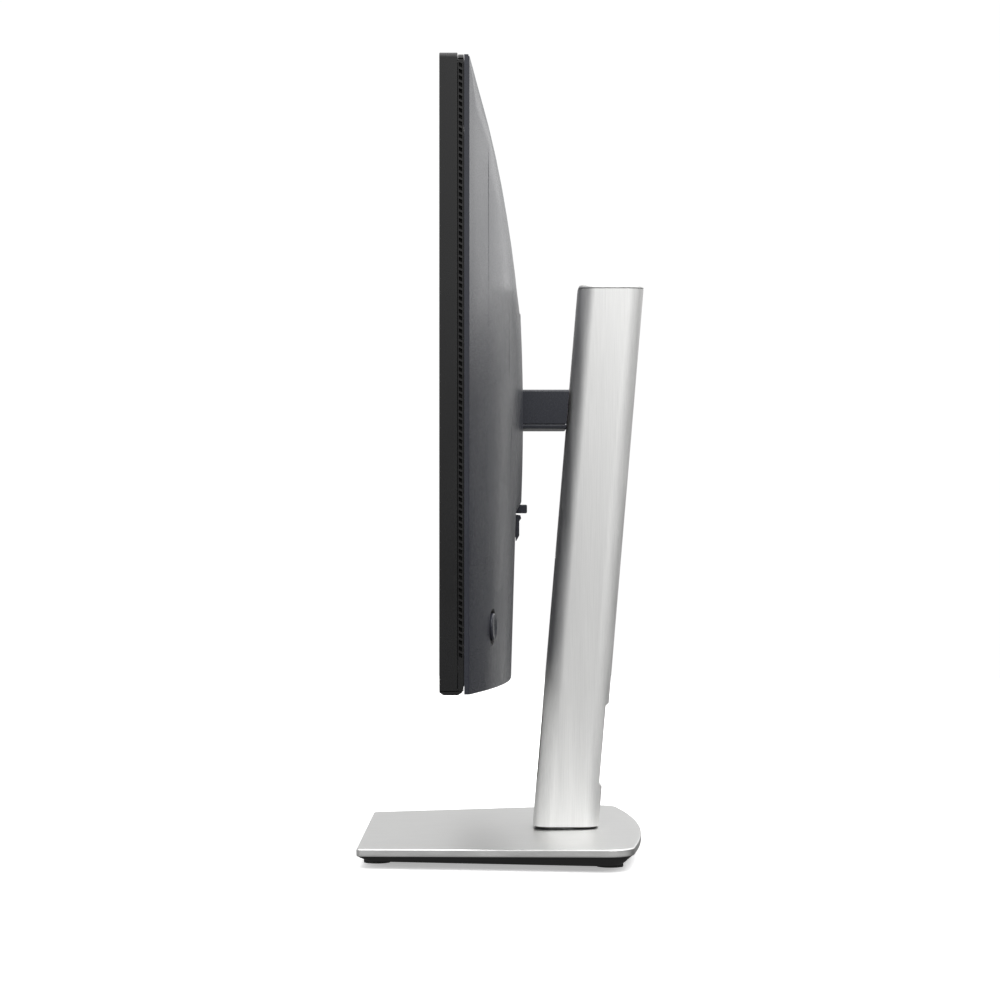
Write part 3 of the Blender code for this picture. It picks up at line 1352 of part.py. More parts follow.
def make_ports(head):
    low = IO_Z + IO_SHEET + GAP
    front = IO_Y[0]
    outline = [
        (front, IO_Z),
        (IO_Y[1], IO_Z),
        (IO_Y[1], IO_Z + IO_SHEET),
        (front + IO_SHEET, IO_Z + IO_SHEET),
        (front + IO_SHEET, IO_Z + 0.016),
        (front, IO_Z + 0.016),
    ]
    bracket = add_part("io_bracket", extruded(outline, "X", -IO_HALF, IO_HALF), "steel", head)
    sizes = [(AC_SIZE, AC_X, AC_WALL), (HDMI_SIZE, HDMI_X, PORT_WALL)]
    sizes += [(DISPLAY_SIZE, x, PORT_WALL) for x in DISPLAY_X]
    sizes += [(UPSTREAM_SIZE, UPSTREAM_X, PORT_WALL)] + [(USB_SIZE, x, PORT_WALL) for x in USB_X]
    mouths = [
        centred_block((x, PORT_Y, IO_Z), (size[0] / 2 - wall, size[1] / 2 - wall, 0.004))
        for size, x, wall in sizes
    ]
    cut(bracket, group(mouths))

    def tongue(x, half_width, half_depth, length, size, y=PORT_Y):
        high = low + size[2] - 0.0003
        middle = (x, y, high - length / 2)
        return centred_block(middle, (half_width, half_depth, length / 2))

    inlet = add_part("ac_inlet", cup(AC_SIZE, AC_X, PORT_Y, low, AC_WALL), "black_plastic", head)
    pin_length = AC_SIZE[2] - AC_WALL - 0.003
    pins = [
        tongue(AC_X - 0.007, 0.001, 0.002, pin_length, AC_SIZE, PORT_Y - 0.001),
        tongue(AC_X + 0.007, 0.001, 0.002, pin_length, AC_SIZE, PORT_Y - 0.001),
        tongue(AC_X, 0.001, 0.002, pin_length, AC_SIZE, PORT_Y + 0.003),
    ]
    join(inlet, group(pins))

    def port_row(name, sizes, tongues):
        """A row of sockets on one small board, which joins them at their backs."""
        ends = [x - size[0] / 2 for size, x in sizes] + [x + size[0] / 2 for size, x in sizes]
        high = low + min(size[2] for size, x in sizes)
        depth = (PORT_Y - 0.0024, PORT_Y + 0.0024)
        strip = block((min(ends), max(ends)), depth, (high - 0.0005, high + 0.0015))
        row = add_part(name, strip, "steel", head)
        join(row, group([cup(size, x, PORT_Y, low, PORT_WALL) for size, x in sizes]))
        join(row, group(tongues))

    sizes = [(HDMI_SIZE, HDMI_X)] + [(DISPLAY_SIZE, x) for x in DISPLAY_X]
    tongues = [tongue(HDMI_X, 0.0050, 0.0006, 0.008, HDMI_SIZE)]
    tongues += [tongue(x, 0.0055, 0.0006, 0.008, DISPLAY_SIZE) for x in DISPLAY_X]
    port_row("video_ports", sizes, tongues)
    sizes = [(UPSTREAM_SIZE, UPSTREAM_X)] + [(USB_SIZE, x) for x in USB_X]
    tongues = [tongue(UPSTREAM_X, 0.0028, 0.0016, 0.009, UPSTREAM_SIZE)]
    tongues += [tongue(x, 0.0055, 0.0009, 0.009, USB_SIZE, PORT_Y + 0.0012) for x in USB_X]
    port_row("usb_ports", sizes, tongues)


def make_inside(head, power, sheet_back):
    vesa_low, vesa_high = ARM_Z - VESA_HALF, ARM_Z + VESA_HALF
    feet = max(sheet_back, FRAME_BACK) + GAP
    sheet = VESA_SHEET
    half = VESA_HALF
    outer = half + VESA_FOOT
    hat = [
        (-outer, feet),
        (-half + sheet, feet),
        (-half + sheet, VESA_FRONT),
        (half - sheet, VESA_FRONT),
        (half - sheet, feet),
        (outer, feet),
        (outer, feet + sheet),
        (half, feet + sheet),
        (half, VESA_BACK),
        (-half, VESA_BACK),
        (-half, feet + sheet),
        (-outer, feet + sheet),
    ]
    bracket = add_part("vesa_bracket", extruded(hat, "Z", vesa_low, vesa_high), "steel", head)
    pitch = VESA_PITCH / 2
    holes = [
        rod((x, VESA_FRONT, ARM_Z + z), VESA_HOLE, 0.01, "Y", 16)
        for x in (-pitch, pitch)
        for z in (-pitch, pitch)
    ]
    cut(bracket, group(holes))

    def board(name, x, z):
        part = add_part(name, block(x, (BOARD_Y, BOARD_Y + BOARD_THICK), z), "board_green", head)
        inset = 0.004
        places = [(a, b) for a in (x[0] + inset, x[1] - inset) for b in (z[0] + inset, z[1] - inset)]
        radius = SCREW_RADIUS + HOLE_GAP
        cut(part, group([rod((a, BOARD_Y, b), radius, 0.01, "Y", SMALL_SIDES) for a, b in places]))

    board("main_board", MAIN_BOARD_X, MAIN_BOARD_Z)
    board("power_board", POWER_BOARD_X, POWER_BOARD_Z)

    button_y = HEAD_FRONT + CHIN_DEPTH / 2
    bottom = HEAD_BOTTOM - BUTTON_PROUD
    middle = (BUTTON_X, button_y, bottom + BUTTON_HEIGHT / 2)
    add_part(
        "power_button",
        centred_block(middle, (BUTTON_HALF[0], BUTTON_HALF[1], BUTTON_HEIGHT / 2)),
        "black_frame",
        power,
    )


def main():
    base = Body("base", ORIGIN)
    thumb = Body("thumbscrew", (0, SWIVEL_Y, 0), base)
    ring = Body("screw_ring", (0, RING_HINGE_Y, RING_HINGE_Z), thumb)
    riser = Body("riser", (0, SWIVEL_Y, BASE_TOP_Z), base)
    arm = Body("arm", (0, riser_y(0, ARM_Z), ARM_Z), riser)
    drum = Body("spring_drum", (0, riser_y(0, DRUM_Z), DRUM_Z), arm)
    head = Body("head", (0, TILT_Y, ARM_Z), arm)
    release = Body("release_button", (0, RELEASE_IN, RELEASE_Z), head)
    latch = Body("latch", (0, RELEASE_IN, RELEASE_Z), head)
    gimbal = joystick_frame() @ Vector((0, -JOY_DISH - JOY_GIMBAL, 0))
    joy_ring = Body("joystick_ring", gimbal, head)
    joy_cross = Body("joystick_cross", gimbal, joy_ring)
    joy_cap = Body("joystick_cap", gimbal, joy_cross)
    power = Body("power_button", (BUTTON_X, HEAD_FRONT + CHIN_DEPTH / 2, HEAD_BOTTOM), head)

    make_base(base)
    make_thumbscrew(thumb, ring)
    make_riser(riser)
    make_arm(arm, drum)
    make_mount(head)
    make_frame(head)
    sheet_back = make_panel(head)
    make_vents(head)
    make_cover(head)
    make_release(head, release, latch)
    make_joystick(head, joy_ring, joy_cross, joy_cap)
    make_ports(head)
    make_inside(head, power, sheet_back)


main()
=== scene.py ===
"""The computer monitor's visual model: finishes, fine pieces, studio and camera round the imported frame."""

import json
import math

import bmesh
import bpy
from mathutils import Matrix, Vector


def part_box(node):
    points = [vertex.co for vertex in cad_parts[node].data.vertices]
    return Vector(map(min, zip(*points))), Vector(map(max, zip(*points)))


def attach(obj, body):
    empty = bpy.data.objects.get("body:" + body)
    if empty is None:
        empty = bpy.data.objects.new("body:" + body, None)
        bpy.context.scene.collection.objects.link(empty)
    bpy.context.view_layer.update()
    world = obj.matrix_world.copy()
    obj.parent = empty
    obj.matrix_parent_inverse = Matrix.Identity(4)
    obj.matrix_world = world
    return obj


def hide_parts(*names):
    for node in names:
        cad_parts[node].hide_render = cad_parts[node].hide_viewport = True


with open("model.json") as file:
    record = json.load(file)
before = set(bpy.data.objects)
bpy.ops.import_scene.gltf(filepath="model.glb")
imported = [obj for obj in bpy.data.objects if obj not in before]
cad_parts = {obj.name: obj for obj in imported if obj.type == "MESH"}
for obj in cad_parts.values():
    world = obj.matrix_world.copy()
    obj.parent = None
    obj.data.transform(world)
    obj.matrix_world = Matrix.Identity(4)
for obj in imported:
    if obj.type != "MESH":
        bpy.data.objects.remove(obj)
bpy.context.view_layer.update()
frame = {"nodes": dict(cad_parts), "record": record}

NODES = frame["nodes"]
SLOT_OF = {part["node"]: part["material_slot"] for part in frame["record"]["subparts"]}
BODY_OF = {node: body for body, nodes in frame["record"]["behaviour"]["bodies"].items() for node in nodes}


# Finishes ---------------------------------------------------------------------------

NOISE_RANGE = (0.3, 0.7)
EDGE_TURN = (0.90, 0.995)
EDGE_PATCHES = 90
EDGE_LEAST = 0.35
EDGE_POLISH = -0.05
# Patterns' scales are in cells per metre, and reliefs are in metres
BRUSH_STRETCH = 0.012
BRUSH_LINES = 2600.0
BRUSH_COARSER = 9
BRUSH_RELIEF = 0.000006
GRAIN_RELIEF = 0.00002
ROLLING_STRETCH = 0.03
SCREEN_BORDER = 0.0055
SCREEN_GRAIN = 3500


class Finish:
    """One material's nodes, with the object's own coordinates as the place of every pattern."""

    def __init__(self, name, colour, roughness, metallic=0.0, **sockets):
        self.material = bpy.data.materials.new(name)
        self.material.use_nodes = True
        self.tree = self.material.node_tree
        self.shader = self.tree.nodes["Principled BSDF"]
        self.place = self.tree.nodes.new("ShaderNodeTexCoord").outputs["Object"]
        self.shader.inputs["Metallic"].default_value = metallic
        for socket, value in sockets.items():
            self.shader.inputs[socket.replace("_", " ")].default_value = value
        self.base = colour
        self.colour = self.plain_colour(colour)
        self.rough = self.number(roughness)
        self.height = None

    def node(self, kind, **settings):
        made = self.tree.nodes.new("ShaderNode" + kind)
        for key, value in settings.items():
            setattr(made, key, value)
        return made

    def link(self, source, target):
        if isinstance(source, (int, float)):
            target.default_value = source
        else:
            self.tree.links.new(source, target)

    def plain_colour(self, colour):
        made = self.node("RGB")
        made.outputs[0].default_value = (*colour, 1)
        return made.outputs[0]

    def number(self, value):
        made = self.node("Value")
        made.outputs[0].default_value = value
        return made.outputs[0]

    def math(self, operation, first, second=0.0):
        made = self.node("Math", operation=operation)
        self.link(first, made.inputs[0])
        self.link(second, made.inputs[1])
        return made.outputs[0]

    def stretched(self, scale):
        """The place, drawn out along the axes whose scale is small."""
        made = self.node("Mapping")
        made.inputs["Scale"].default_value = scale
        self.tree.links.new(self.place, made.inputs["Vector"])
        return made.outputs["Vector"]

    def noise(self, scale, detail=3.0, stretch=None, rough=0.5):
        """Noise with a mean of about one half. The scale is in cells per metre."""
        made = self.node("TexNoise")
        made.inputs["Scale"].default_value = scale
        made.inputs["Detail"].default_value = detail
        made.inputs["Roughness"].default_value = rough
        self.tree.links.new(self.stretched(stretch) if stretch else self.place, made.inputs["Vector"])
        return made.outputs["Fac"]

    def spread(self, value, low, high, source=NOISE_RANGE):
        """A value from one range into another, kept within it."""
        made = self.node("MapRange")
        self.link(value, made.inputs["Value"])
        for socket, number in zip(("From Min", "From Max", "To Min", "To Max"), (*source, low, high)):
            made.inputs[socket].default_value = number
        return made.outputs["Result"]

    def tint(self, mask, colour):
        """Moves the colour towards another where the mask is high."""
        made = self.node("Mix", data_type="RGBA")
        self.link(mask, made.inputs[0])
        self.tree.links.new(self.colour, made.inputs[6])
        made.inputs[7].default_value = (*colour, 1)
        self.colour = made.outputs[2]
        return self

    def shade(self, pattern, low, high):
        """Varies the colour's brightness by a pattern."""
        factor = self.spread(pattern, low, high)
        made = self.node("VectorMath", operation="SCALE")
        self.tree.links.new(self.colour, made.inputs[0])
        self.tree.links.new(factor, made.inputs["Scale"])
        self.colour = made.outputs[0]
        return self

    def polish(self, pattern, low, high):
        """Varies the roughness by a pattern."""
        self.rough = self.math("ADD", self.rough, self.spread(pattern, low, high))
        return self

    def bump(self, pattern, distance):
        """Adds relief. The distance is in metres."""
        made = self.node("Bump")
        made.inputs["Distance"].default_value = distance
        self.tree.links.new(pattern, made.inputs["Height"])
        if self.height:
            self.tree.links.new(self.height, made.inputs["Normal"])
        self.height = made.outputs["Normal"]
        return self

    def worn(self, radius, colour, amount=0.5):
        """Lightens and smooths the edges, unevenly, as handling does."""
        bevel = self.node("Bevel", samples=4)
        bevel.inputs["Radius"].default_value = radius
        flat = self.node("NewGeometry").outputs["Normal"]
        dot = self.node("VectorMath", operation="DOT_PRODUCT")
        self.tree.links.new(bevel.outputs[0], dot.inputs[0])
        self.tree.links.new(flat, dot.inputs[1])
        edge = self.spread(dot.outputs["Value"], 1.0, 0.0, EDGE_TURN)
        patches = self.spread(self.noise(EDGE_PATCHES, 4), EDGE_LEAST * amount, amount)
        self.tint(self.math("MULTIPLY", edge, patches), colour)
        self.rough = self.math("ADD", self.rough, self.math("MULTIPLY", edge, EDGE_POLISH))
        return self

    def done(self):
        self.tree.links.new(self.colour, self.shader.inputs["Base Color"])
        self.tree.links.new(self.rough, self.shader.inputs["Roughness"])
        if self.height:
            self.tree.links.new(self.height, self.shader.inputs["Normal"])
        return self.material


def lighter(colour, by):
    return tuple(min(c * by, 1.0) for c in colour)


def stretch_along(axis, amount):
    """The scale of a pattern that is drawn out along one axis."""
    return tuple(amount if each == axis else 1.0 for each in "XYZ")


def brushed(name, colour, roughness, along):
    """Metal with fine lines along one axis."""
    stretch = stretch_along(along, BRUSH_STRETCH)
    f = Finish(name, colour, roughness, 1.0)
    fine = f.noise(BRUSH_LINES, 4, stretch, 0.65)
    broad = f.noise(BRUSH_LINES / BRUSH_COARSER, 2, stretch)
    cloud = f.noise(14, 3)
    f.shade(fine, 0.93, 1.04).shade(broad, 0.98, 1.01)
    f.polish(broad, -0.05, 0.05).polish(cloud, -0.02, 0.02)
    f.bump(fine, BRUSH_RELIEF)
    return f.worn(0.0006, lighter(colour, 1.15), 0.6).done()


def moulded(name, colour, roughness, grain=1800.0, relief=GRAIN_RELIEF, edge=1.6, **sockets):
    """Plastic with a fine spark-eroded grain."""
    f = Finish(name, colour, roughness, **sockets)
    pits = f.noise(grain, 2, rough=0.6)
    cloud = f.noise(22, 4)
    f.shade(cloud, 0.95, 1.05).shade(pits, 0.94, 1.06)
    f.polish(cloud, -0.03, 0.03).polish(pits, -0.04, 0.04)
    f.bump(pits, relief)
    return f.worn(0.0004, lighter(colour, edge), 0.5).done()


def sheet_metal(name, colour, roughness, along="X"):
    """Zinc-plated sheet: faint rolling lines and cloudy patches."""
    f = Finish(name, colour, roughness, 1.0)
    lines = f.noise(900, 3, stretch_along(along, ROLLING_STRETCH))
    cloud = f.noise(45, 5, rough=0.6)
    f.shade(cloud, 0.86, 1.08).tint(f.spread(f.noise(30, 2), 0.0, 0.18), (0.55, 0.52, 0.42))
    f.polish(cloud, -0.08, 0.1).polish(lines, -0.03, 0.03)
    f.bump(lines, 0.00001)
    return f.worn(0.0004, lighter(colour, 1.2), 0.6).done()


def screen_film():
    """The dark panel: a matt film over the pixels, with a blacker printed border round them."""
    low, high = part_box("lcd_panel")
    f = Finish("screen_film", (0.003, 0.003, 0.0035), 0.26)
    split = f.node("SeparateXYZ")
    f.link(f.place, split.inputs[0])
    across = f.math("ABSOLUTE", f.math("SUBTRACT", split.outputs["X"], (low.x + high.x) / 2))
    upward = f.math("ABSOLUTE", f.math("SUBTRACT", split.outputs["Z"], (low.z + high.z) / 2))
    half_across = (high.x - low.x) / 2 - SCREEN_BORDER
    half_upward = (high.z - low.z) / 2 - SCREEN_BORDER
    inside = f.math("LESS_THAN", across, half_across)
    pixels = f.math("MULTIPLY", inside, f.math("LESS_THAN", upward, half_upward))
    f.tint(pixels, (0.011, 0.011, 0.014))
    cloud = f.noise(30, 3)
    f.shade(cloud, 0.97, 1.03).polish(cloud, -0.015, 0.015)
    f.bump(f.noise(SCREEN_GRAIN, 2), 0.000003)
    return f.done()


# Studio -----------------------------------------------------------------------------

CAMERA_X = 1.754
CAMERA_Y = -0.0023
CAMERA_Z = 0.1999
CAMERA_LENS = 94.07
CAMERA_SHIFT = 0.05
CAMERA_SENSOR = 36.0
CAMERA_NEAREST = 0.05
FLOOR_RADIUS = 2.4
FLOOR_SIDES = 128
FLOOR_COLOUR = (0.92, 0.92, 0.92)
FLOOR_GLOW = 0.40
# Each softbox's place, what it points at, its size in metres and its power in watts
SOFTBOXES = {
    "overhead": ((0, 0.2, 3.0), (0, 0, 0), (5.0, 5.0), 130.0),
    "side": ((1.0, 0.35, 1.05), (0, 0.05, 0.35), (0.6, 0.6), 4.5),
    "rear_high": ((-1.4, 1.2, 1.2), (0.2, 0, 0.42), (1.6, 1.4), 7.0),
}
# The room's light by direction: each pair is how far a direction points along X or Z, and how bright it is
WORLD_ACROSS = ((-1.0, 0.42), (-0.97, 0.38), (-0.80, 0.16), (-0.3, 0.30), (0.1, 0.50), (1.0, 0.55))
WORLD_UPWARD = ((-0.30, 0.32), (-0.13, 0.34), (-0.04, 0.11), (0.16, 0.90), (0.8, 1.0))
WORLD_LIGHT = 2.2
BACKDROP = 1.02


def make_camera():
    data = bpy.data.cameras.new("camera")
    data.lens = CAMERA_LENS
    data.sensor_width = CAMERA_SENSOR
    data.shift_y = CAMERA_SHIFT
    data.clip_start = CAMERA_NEAREST
    camera = bpy.data.objects.new("camera", data)
    bpy.context.scene.collection.objects.link(camera)
    camera.location = (CAMERA_X, CAMERA_Y, CAMERA_Z)
    camera.rotation_euler = (math.pi / 2, 0, math.pi / 2)
    bpy.context.scene.camera = camera


def make_world():
    """White where the camera sees past the object. The room's light is dimmer, and varies by direction."""
    world = bpy.data.worlds.new("studio")
    bpy.context.scene.world = world
    world.use_nodes = True
    tree = world.node_tree
    split = tree.nodes.new("ShaderNodeSeparateXYZ")
    tree.links.new(tree.nodes.new("ShaderNodeTexCoord").outputs["Generated"], split.inputs[0])

    def ramp(axis, stops):
        span = tree.nodes.new("ShaderNodeMapRange")
        span.inputs["From Min"].default_value = -1.0
        tree.links.new(split.outputs[axis], span.inputs["Value"])
        made = tree.nodes.new("ShaderNodeValToRGB")
        made.color_ramp.interpolation = "EASE"
        while len(made.color_ramp.elements) < len(stops):
            made.color_ramp.elements.new(0.5)
        for element, (position, level) in zip(made.color_ramp.elements, stops):
            element.position = (position + 1) / 2
            element.color = (level, level, level, 1)
        tree.links.new(span.outputs["Result"], made.inputs[0])
        return made.outputs[0]

    def mix(factor, first, second, blend="MIX"):
        made = tree.nodes.new("ShaderNodeMix")
        made.data_type = "RGBA"
        made.blend_type = blend
        for value, socket in ((factor, made.inputs[0]), (first, made.inputs[6]), (second, made.inputs[7])):
            if isinstance(value, (float, tuple)):
                socket.default_value = value
            else:
                tree.links.new(value, socket)
        return made.outputs[2]

    light = mix(1.0, ramp("X", WORLD_ACROSS), ramp("Z", WORLD_UPWARD), "MULTIPLY")
    seen = tree.nodes.new("ShaderNodeLightPath").outputs["Is Camera Ray"]
    white = BACKDROP / WORLD_LIGHT
    shown = mix(seen, light, (white, white, white, 1.0))
    tree.links.new(shown, tree.nodes["Background"].inputs["Color"])
    tree.nodes["Background"].inputs["Strength"].default_value = WORLD_LIGHT


def add_softbox(name, place, target, size, power):
    data = bpy.data.lights.new(name, "AREA")
    data.shape = "RECTANGLE"
    data.size, data.size_y = size
    data.energy = power
    light = bpy.data.objects.new(name, data)
    bpy.context.scene.collection.objects.link(light)
    light.location = place
    light.rotation_euler = (Vector(target) - Vector(place)).to_track_quat("-Z", "Y").to_euler()
    light.visible_camera = False


def make_floor():
    """A white floor that the camera sees, and that neither mirrors nor bounces light onto the object."""
    shape = bmesh.new()
    bmesh.ops.create_circle(shape, cap_ends=True, segments=FLOOR_SIDES, radius=FLOOR_RADIUS)
    mesh = bpy.data.meshes.new("floor")
    shape.to_mesh(mesh)
    floor = bpy.data.objects.new("floor", mesh)
    bpy.context.scene.collection.objects.link(floor)
    glow = {"Emission_Color": (1, 1, 1, 1), "Emission_Strength": FLOOR_GLOW}
    f = Finish("floor_paint", FLOOR_COLOUR, 0.9, **glow)
    f.shade(f.noise(3, 4), 0.995, 1.005).bump(f.noise(400, 3), 0.00002)
    mesh.materials.append(f.done())
    floor.visible_diffuse = False
    floor.visible_glossy = False


def make_studio():
    make_camera()
    make_world()
    make_floor()
    for name, settings in SOFTBOXES.items():
        add_softbox(name, *settings)
    bpy.context.scene.view_settings.view_transform = "Standard"


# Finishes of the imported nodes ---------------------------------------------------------


def make_finishes():
    return {
        "brushed_aluminium": brushed("brushed_riser", (0.84, 0.84, 0.83), 0.56, "Z"),
        "base_metal": brushed("brushed_base", (0.80, 0.80, 0.79), 0.34, "Y"),
        "dark_shell": moulded("shell_plastic", (0.022, 0.024, 0.033), 0.27, 2200),
        "black_frame": moulded("frame_plastic", (0.008, 0.008, 0.0083), 0.24, Specular_IOR_Level=0.42),
        "black_plastic": moulded("black_moulding", (0.009, 0.009, 0.009), 0.60),
        # The vent slots' insides are near-black and matt: painted shade for the shadow deep in the holes
        "dark_pit": moulded("vent_pit_painted_shade", (0.003, 0.003, 0.003), 0.9, 900),
        "steel": sheet_metal("zinc_sheet", (0.60, 0.60, 0.61), 0.38),
        "spring_steel": sheet_metal("blued_steel", (0.30, 0.32, 0.38), 0.30, "Z"),
        "rubber": moulded("foot_rubber", (0.018, 0.018, 0.018), 0.85, 1200, 0.00004, 1.3),
        "screen": screen_film(),
        "diffuser_white": moulded("diffuser", (0.78, 0.78, 0.75), 0.45),
        "bearing_white": moulded("acetal", (0.74, 0.74, 0.70), 0.40, 900),
        "circuit_board": moulded("solder_mask", (0.012, 0.075, 0.035), 0.35, 700, 0.00003),
    }


def finish_of(finishes, name):
    return finishes["base_metal" if name == "base_plate" else SLOT_OF[name]]


def paint_nodes(finishes):
    for name, node in NODES.items():
        for slot in node.material_slots:
            slot.material = finish_of(finishes, name)


# Pieces -------------------------------------------------------------------------------

SHARP = math.radians(32)
VENT_PITCH = 0.0036
VENT_HOLE = 0.0024
VENT_DEEP = 0.0016
VENT_FRONT_RAIL = 0.0004
VENT_REAR_RAIL = 0.0007
VENT_SLANT = 0.0013
VENT_LOW_MARGIN = 0.0215
VENT_TOP_MARGIN = 0.0035
VENT_WALL = 0.0008
CORNER = 0.003
CORNER_STEPS = 12
EDGE_SEGMENTS = 2
WELD = 0.000005
FLAT = math.radians(0.6)
COVER_EDGE = 0.0003
# How far the seam's cutter stands clear of the cover
PAST = 0.01
SEAM_WIDE = 0.0005
SEAM_DEEP = 0.0008
RIM_DEPTH = 0.0024


def new_piece(name, shape, node, materials):
    """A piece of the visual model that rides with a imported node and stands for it."""
    mesh = bpy.data.meshes.new(name)
    shape.to_mesh(mesh)
    shape.free()
    mesh.shade_smooth()
    mesh.set_sharp_from_angle(angle=SHARP)
    for material in materials:
        mesh.materials.append(material)
    piece = bpy.data.objects.new(name, mesh)
    bpy.context.scene.collection.objects.link(piece)
    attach(piece, BODY_OF[node])
    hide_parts(node)
    return piece


def packed_shape(name):
    """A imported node's shape with its doubled corners welded and its flat faces whole again."""
    shape = bmesh.new()
    shape.from_mesh(NODES[name].data)
    bmesh.ops.remove_doubles(shape, verts=shape.verts, dist=WELD)
    bmesh.ops.dissolve_limit(shape, angle_limit=FLAT, verts=shape.verts, edges=shape.edges)
    return shape


def soften(piece, width):
    """Rounds a piece's sharp edges and keeps its flat faces flat in the light."""
    bevel = piece.modifiers.new("edges", "BEVEL")
    bevel.width = width
    bevel.segments = EDGE_SEGMENTS
    bevel.limit_method = "ANGLE"
    bevel.angle_limit = SHARP
    bevel.miter_outer = "MITER_ARC"
    normals = piece.modifiers.new("normals", "WEIGHTED_NORMAL")
    normals.keep_sharp = False


def fine_copy(finishes, name):
    return new_piece("fine_" + name, packed_shape(name), name, [finish_of(finishes, name)])


def arc(centre, radius, start, end, steps):
    turns = [start + (end - start) * i / steps for i in range(steps + 1)]
    return [(centre[0] + radius * math.cos(t), centre[1] + radius * math.sin(t)) for t in turns]


def extrude_y(shape, outline, front, back):
    """Adds an X-Z outline drawn out along Y."""
    near = [shape.verts.new((x, front, z)) for x, z in outline]
    far = [shape.verts.new((x, back, z)) for x, z in outline]
    shape.faces.new(near)
    shape.faces.new(far[::-1])
    for i in range(len(outline)):
        j = (i + 1) % len(outline)
        shape.faces.new((near[j], near[i], far[i], far[j]))


def vent_strip(shape, side, outer, inner, ys, rows):
    """One pierced strip, whose slots have painted shade on their floors and walls. Each row is (low, high,
    pierced), and slants down to the rear.
    """

    def point(x, y, z):
        lean = VENT_SLANT * (y - ys[0]) / (ys[-1] - ys[0]) if rows[0][0] < z < rows[-1][1] else 0
        return shape.verts.new((side * x, y, z - lean))

    def quad(corners, slot=0):
        face = shape.faces.new([point(*corner) for corner in corners])
        face.material_index = slot

    deep = outer - VENT_DEEP
    for low, high, pierced in rows:
        for i, (y, after) in enumerate(zip(ys, ys[1:])):
            if pierced and i == 1:
                rim = [(y, low), (after, low), (after, high), (y, high)]
                # The slot's floor and walls take the second material, the near-black painted shade of the
                # hole's depth
                quad([(deep, *corner) for corner in rim], 1)
                for first, second in zip(rim, rim[1:] + rim[:1]):
                    quad([(outer, *first), (outer, *second), (deep, *second), (deep, *first)], 1)
            else:
                quad([(outer, y, low), (outer, after, low), (outer, after, high), (outer, y, high)])
        for y in (ys[0], ys[-1]):
            quad([(outer, y, low), (inner, y, low), (inner, y, high), (outer, y, high)])
        quad([(inner, ys[0], low), (inner, ys[-1], low), (inner, ys[-1], high), (inner, ys[0], high)])
    for z in (rows[0][0], rows[-1][1]):
        quad([*[(outer, y, z) for y in ys], (inner, ys[-1], z), (inner, ys[0], z)])


def make_vent_band(finishes):
    low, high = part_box("vent_band")
    outer, top = high.x, high.z
    inner = outer - VENT_DEEP - VENT_WALL
    ys = (low.y, low.y + VENT_FRONT_RAIL, high.y - VENT_REAR_RAIL, high.y)
    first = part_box("chin_strip")[0].z + VENT_LOW_MARGIN
    count = int((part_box("front_frame")[1].z - VENT_TOP_MARGIN - first) / VENT_PITCH)
    strip_top = top - VENT_DEEP - VENT_WALL
    rows = [(low.z, first, False)]
    for i in range(count):
        start = first + i * VENT_PITCH
        rows += [(start, start + VENT_HOLE, True), (start + VENT_HOLE, start + VENT_PITCH, False)]
    rows[-1] = (rows[-1][0], strip_top, False)
    shape = bmesh.new()
    for side in (-1, 1):
        vent_strip(shape, side, outer, inner, ys, rows)
    quarter = math.pi / 2
    middle = (outer - CORNER, top - CORNER)
    bridge = [(outer, strip_top)] + arc(middle, CORNER, 0, quarter, CORNER_STEPS)
    bridge += arc((-middle[0], middle[1]), CORNER, quarter, 2 * quarter, CORNER_STEPS)
    bridge += [(-outer, strip_top)]
    extrude_y(shape, bridge, low.y, high.y)
    bmesh.ops.remove_doubles(shape, verts=shape.verts, dist=WELD)
    bmesh.ops.recalc_face_normals(shape, faces=shape.faces)
    # The second material is the painted shade inside the vent slots
    new_piece("vent_grille", shape, "vent_band", [finishes["black_frame"], finishes["dark_pit"]])


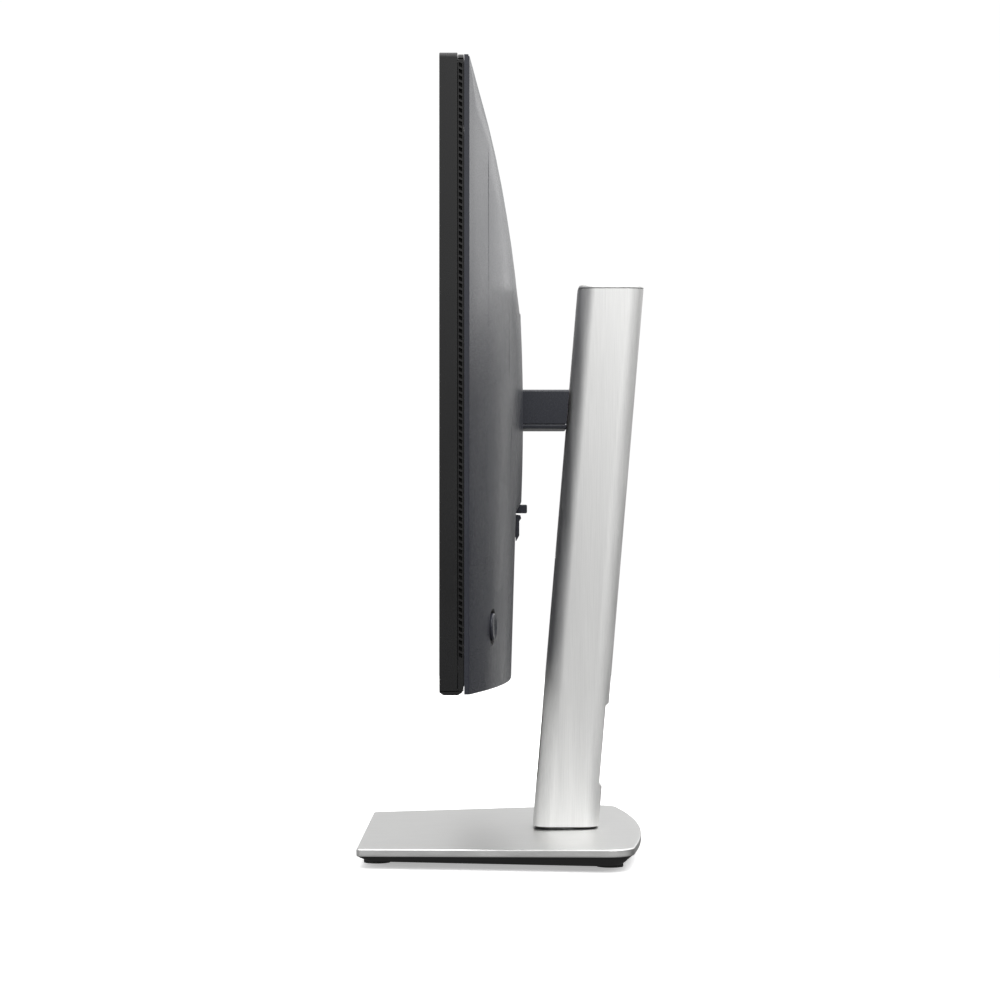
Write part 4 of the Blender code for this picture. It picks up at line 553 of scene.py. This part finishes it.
def carve(piece, cutter):
    """Cuts one shape out of a piece for good."""
    mesh = bpy.data.meshes.new("cutter")
    cutter.to_mesh(mesh)
    cutter.free()
    tool = bpy.data.objects.new("cutter", mesh)
    bpy.context.scene.collection.objects.link(tool)
    boolean = piece.modifiers.new("carve", "BOOLEAN")
    boolean.operation = "DIFFERENCE"
    boolean.solver = "EXACT"
    boolean.object = tool
    solved = bpy.data.meshes.new_from_object(piece.evaluated_get(bpy.context.evaluated_depsgraph_get()))
    piece.modifiers.clear()
    piece.data = solved
    bpy.data.objects.remove(tool)
    solved.shade_smooth()
    solved.set_sharp_from_angle(angle=SHARP)


def make_cover(finishes):
    """The rear cover, with the fine seam behind its rim."""
    name = "rear_cover"
    piece = fine_copy(finishes, name)
    low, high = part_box(name)
    seam = low.y + RIM_DEPTH
    reach, wide = high.x - SEAM_DEEP, high.x + PAST
    below, above, shelf = low.z - PAST, high.z + PAST, high.z - SEAM_DEEP
    groove = bmesh.new()
    outline = [(reach, below), (wide, below), (wide, above), (-wide, above)]
    outline += [(-wide, below), (-reach, below), (-reach, shelf), (reach, shelf)]
    extrude_y(groove, outline, seam, seam + SEAM_WIDE)
    bmesh.ops.recalc_face_normals(groove, faces=groove.faces)
    carve(piece, groove)
    soften(piece, COVER_EDGE)


# Making -------------------------------------------------------------------------------

# How far each visible piece's sharp edges are rounded, in metres
SOFT_EDGES = {
    "front_frame": 0.0004,
    "chin_strip": 0.0003,
    "base_plate": 0.0005,
    "base_tray": 0.0004,
    "riser_shell": 0.0005,
    "riser_cap": 0.0004,
    "cable_guide": 0.0003,
    "mount_cover": 0.0004,
    "arm_cover_upper": 0.0005,
    "arm_cover_lower": 0.0005,
    "release_escutcheon": 0.0002,
    "release_button": 0.0002,
    "joystick_cap": 0.0002,
    "joystick_dish": 0.0002,
    "power_button": 0.0002,
    "thumbscrew": 0.0003,
    "ac_inlet": 0.0002,
}


def main():
    make_studio()
    finishes = make_finishes()
    paint_nodes(finishes)
    for name, width in SOFT_EDGES.items():
        soften(fine_copy(finishes, name), width)
    make_vent_band(finishes)
    make_cover(finishes)


main()
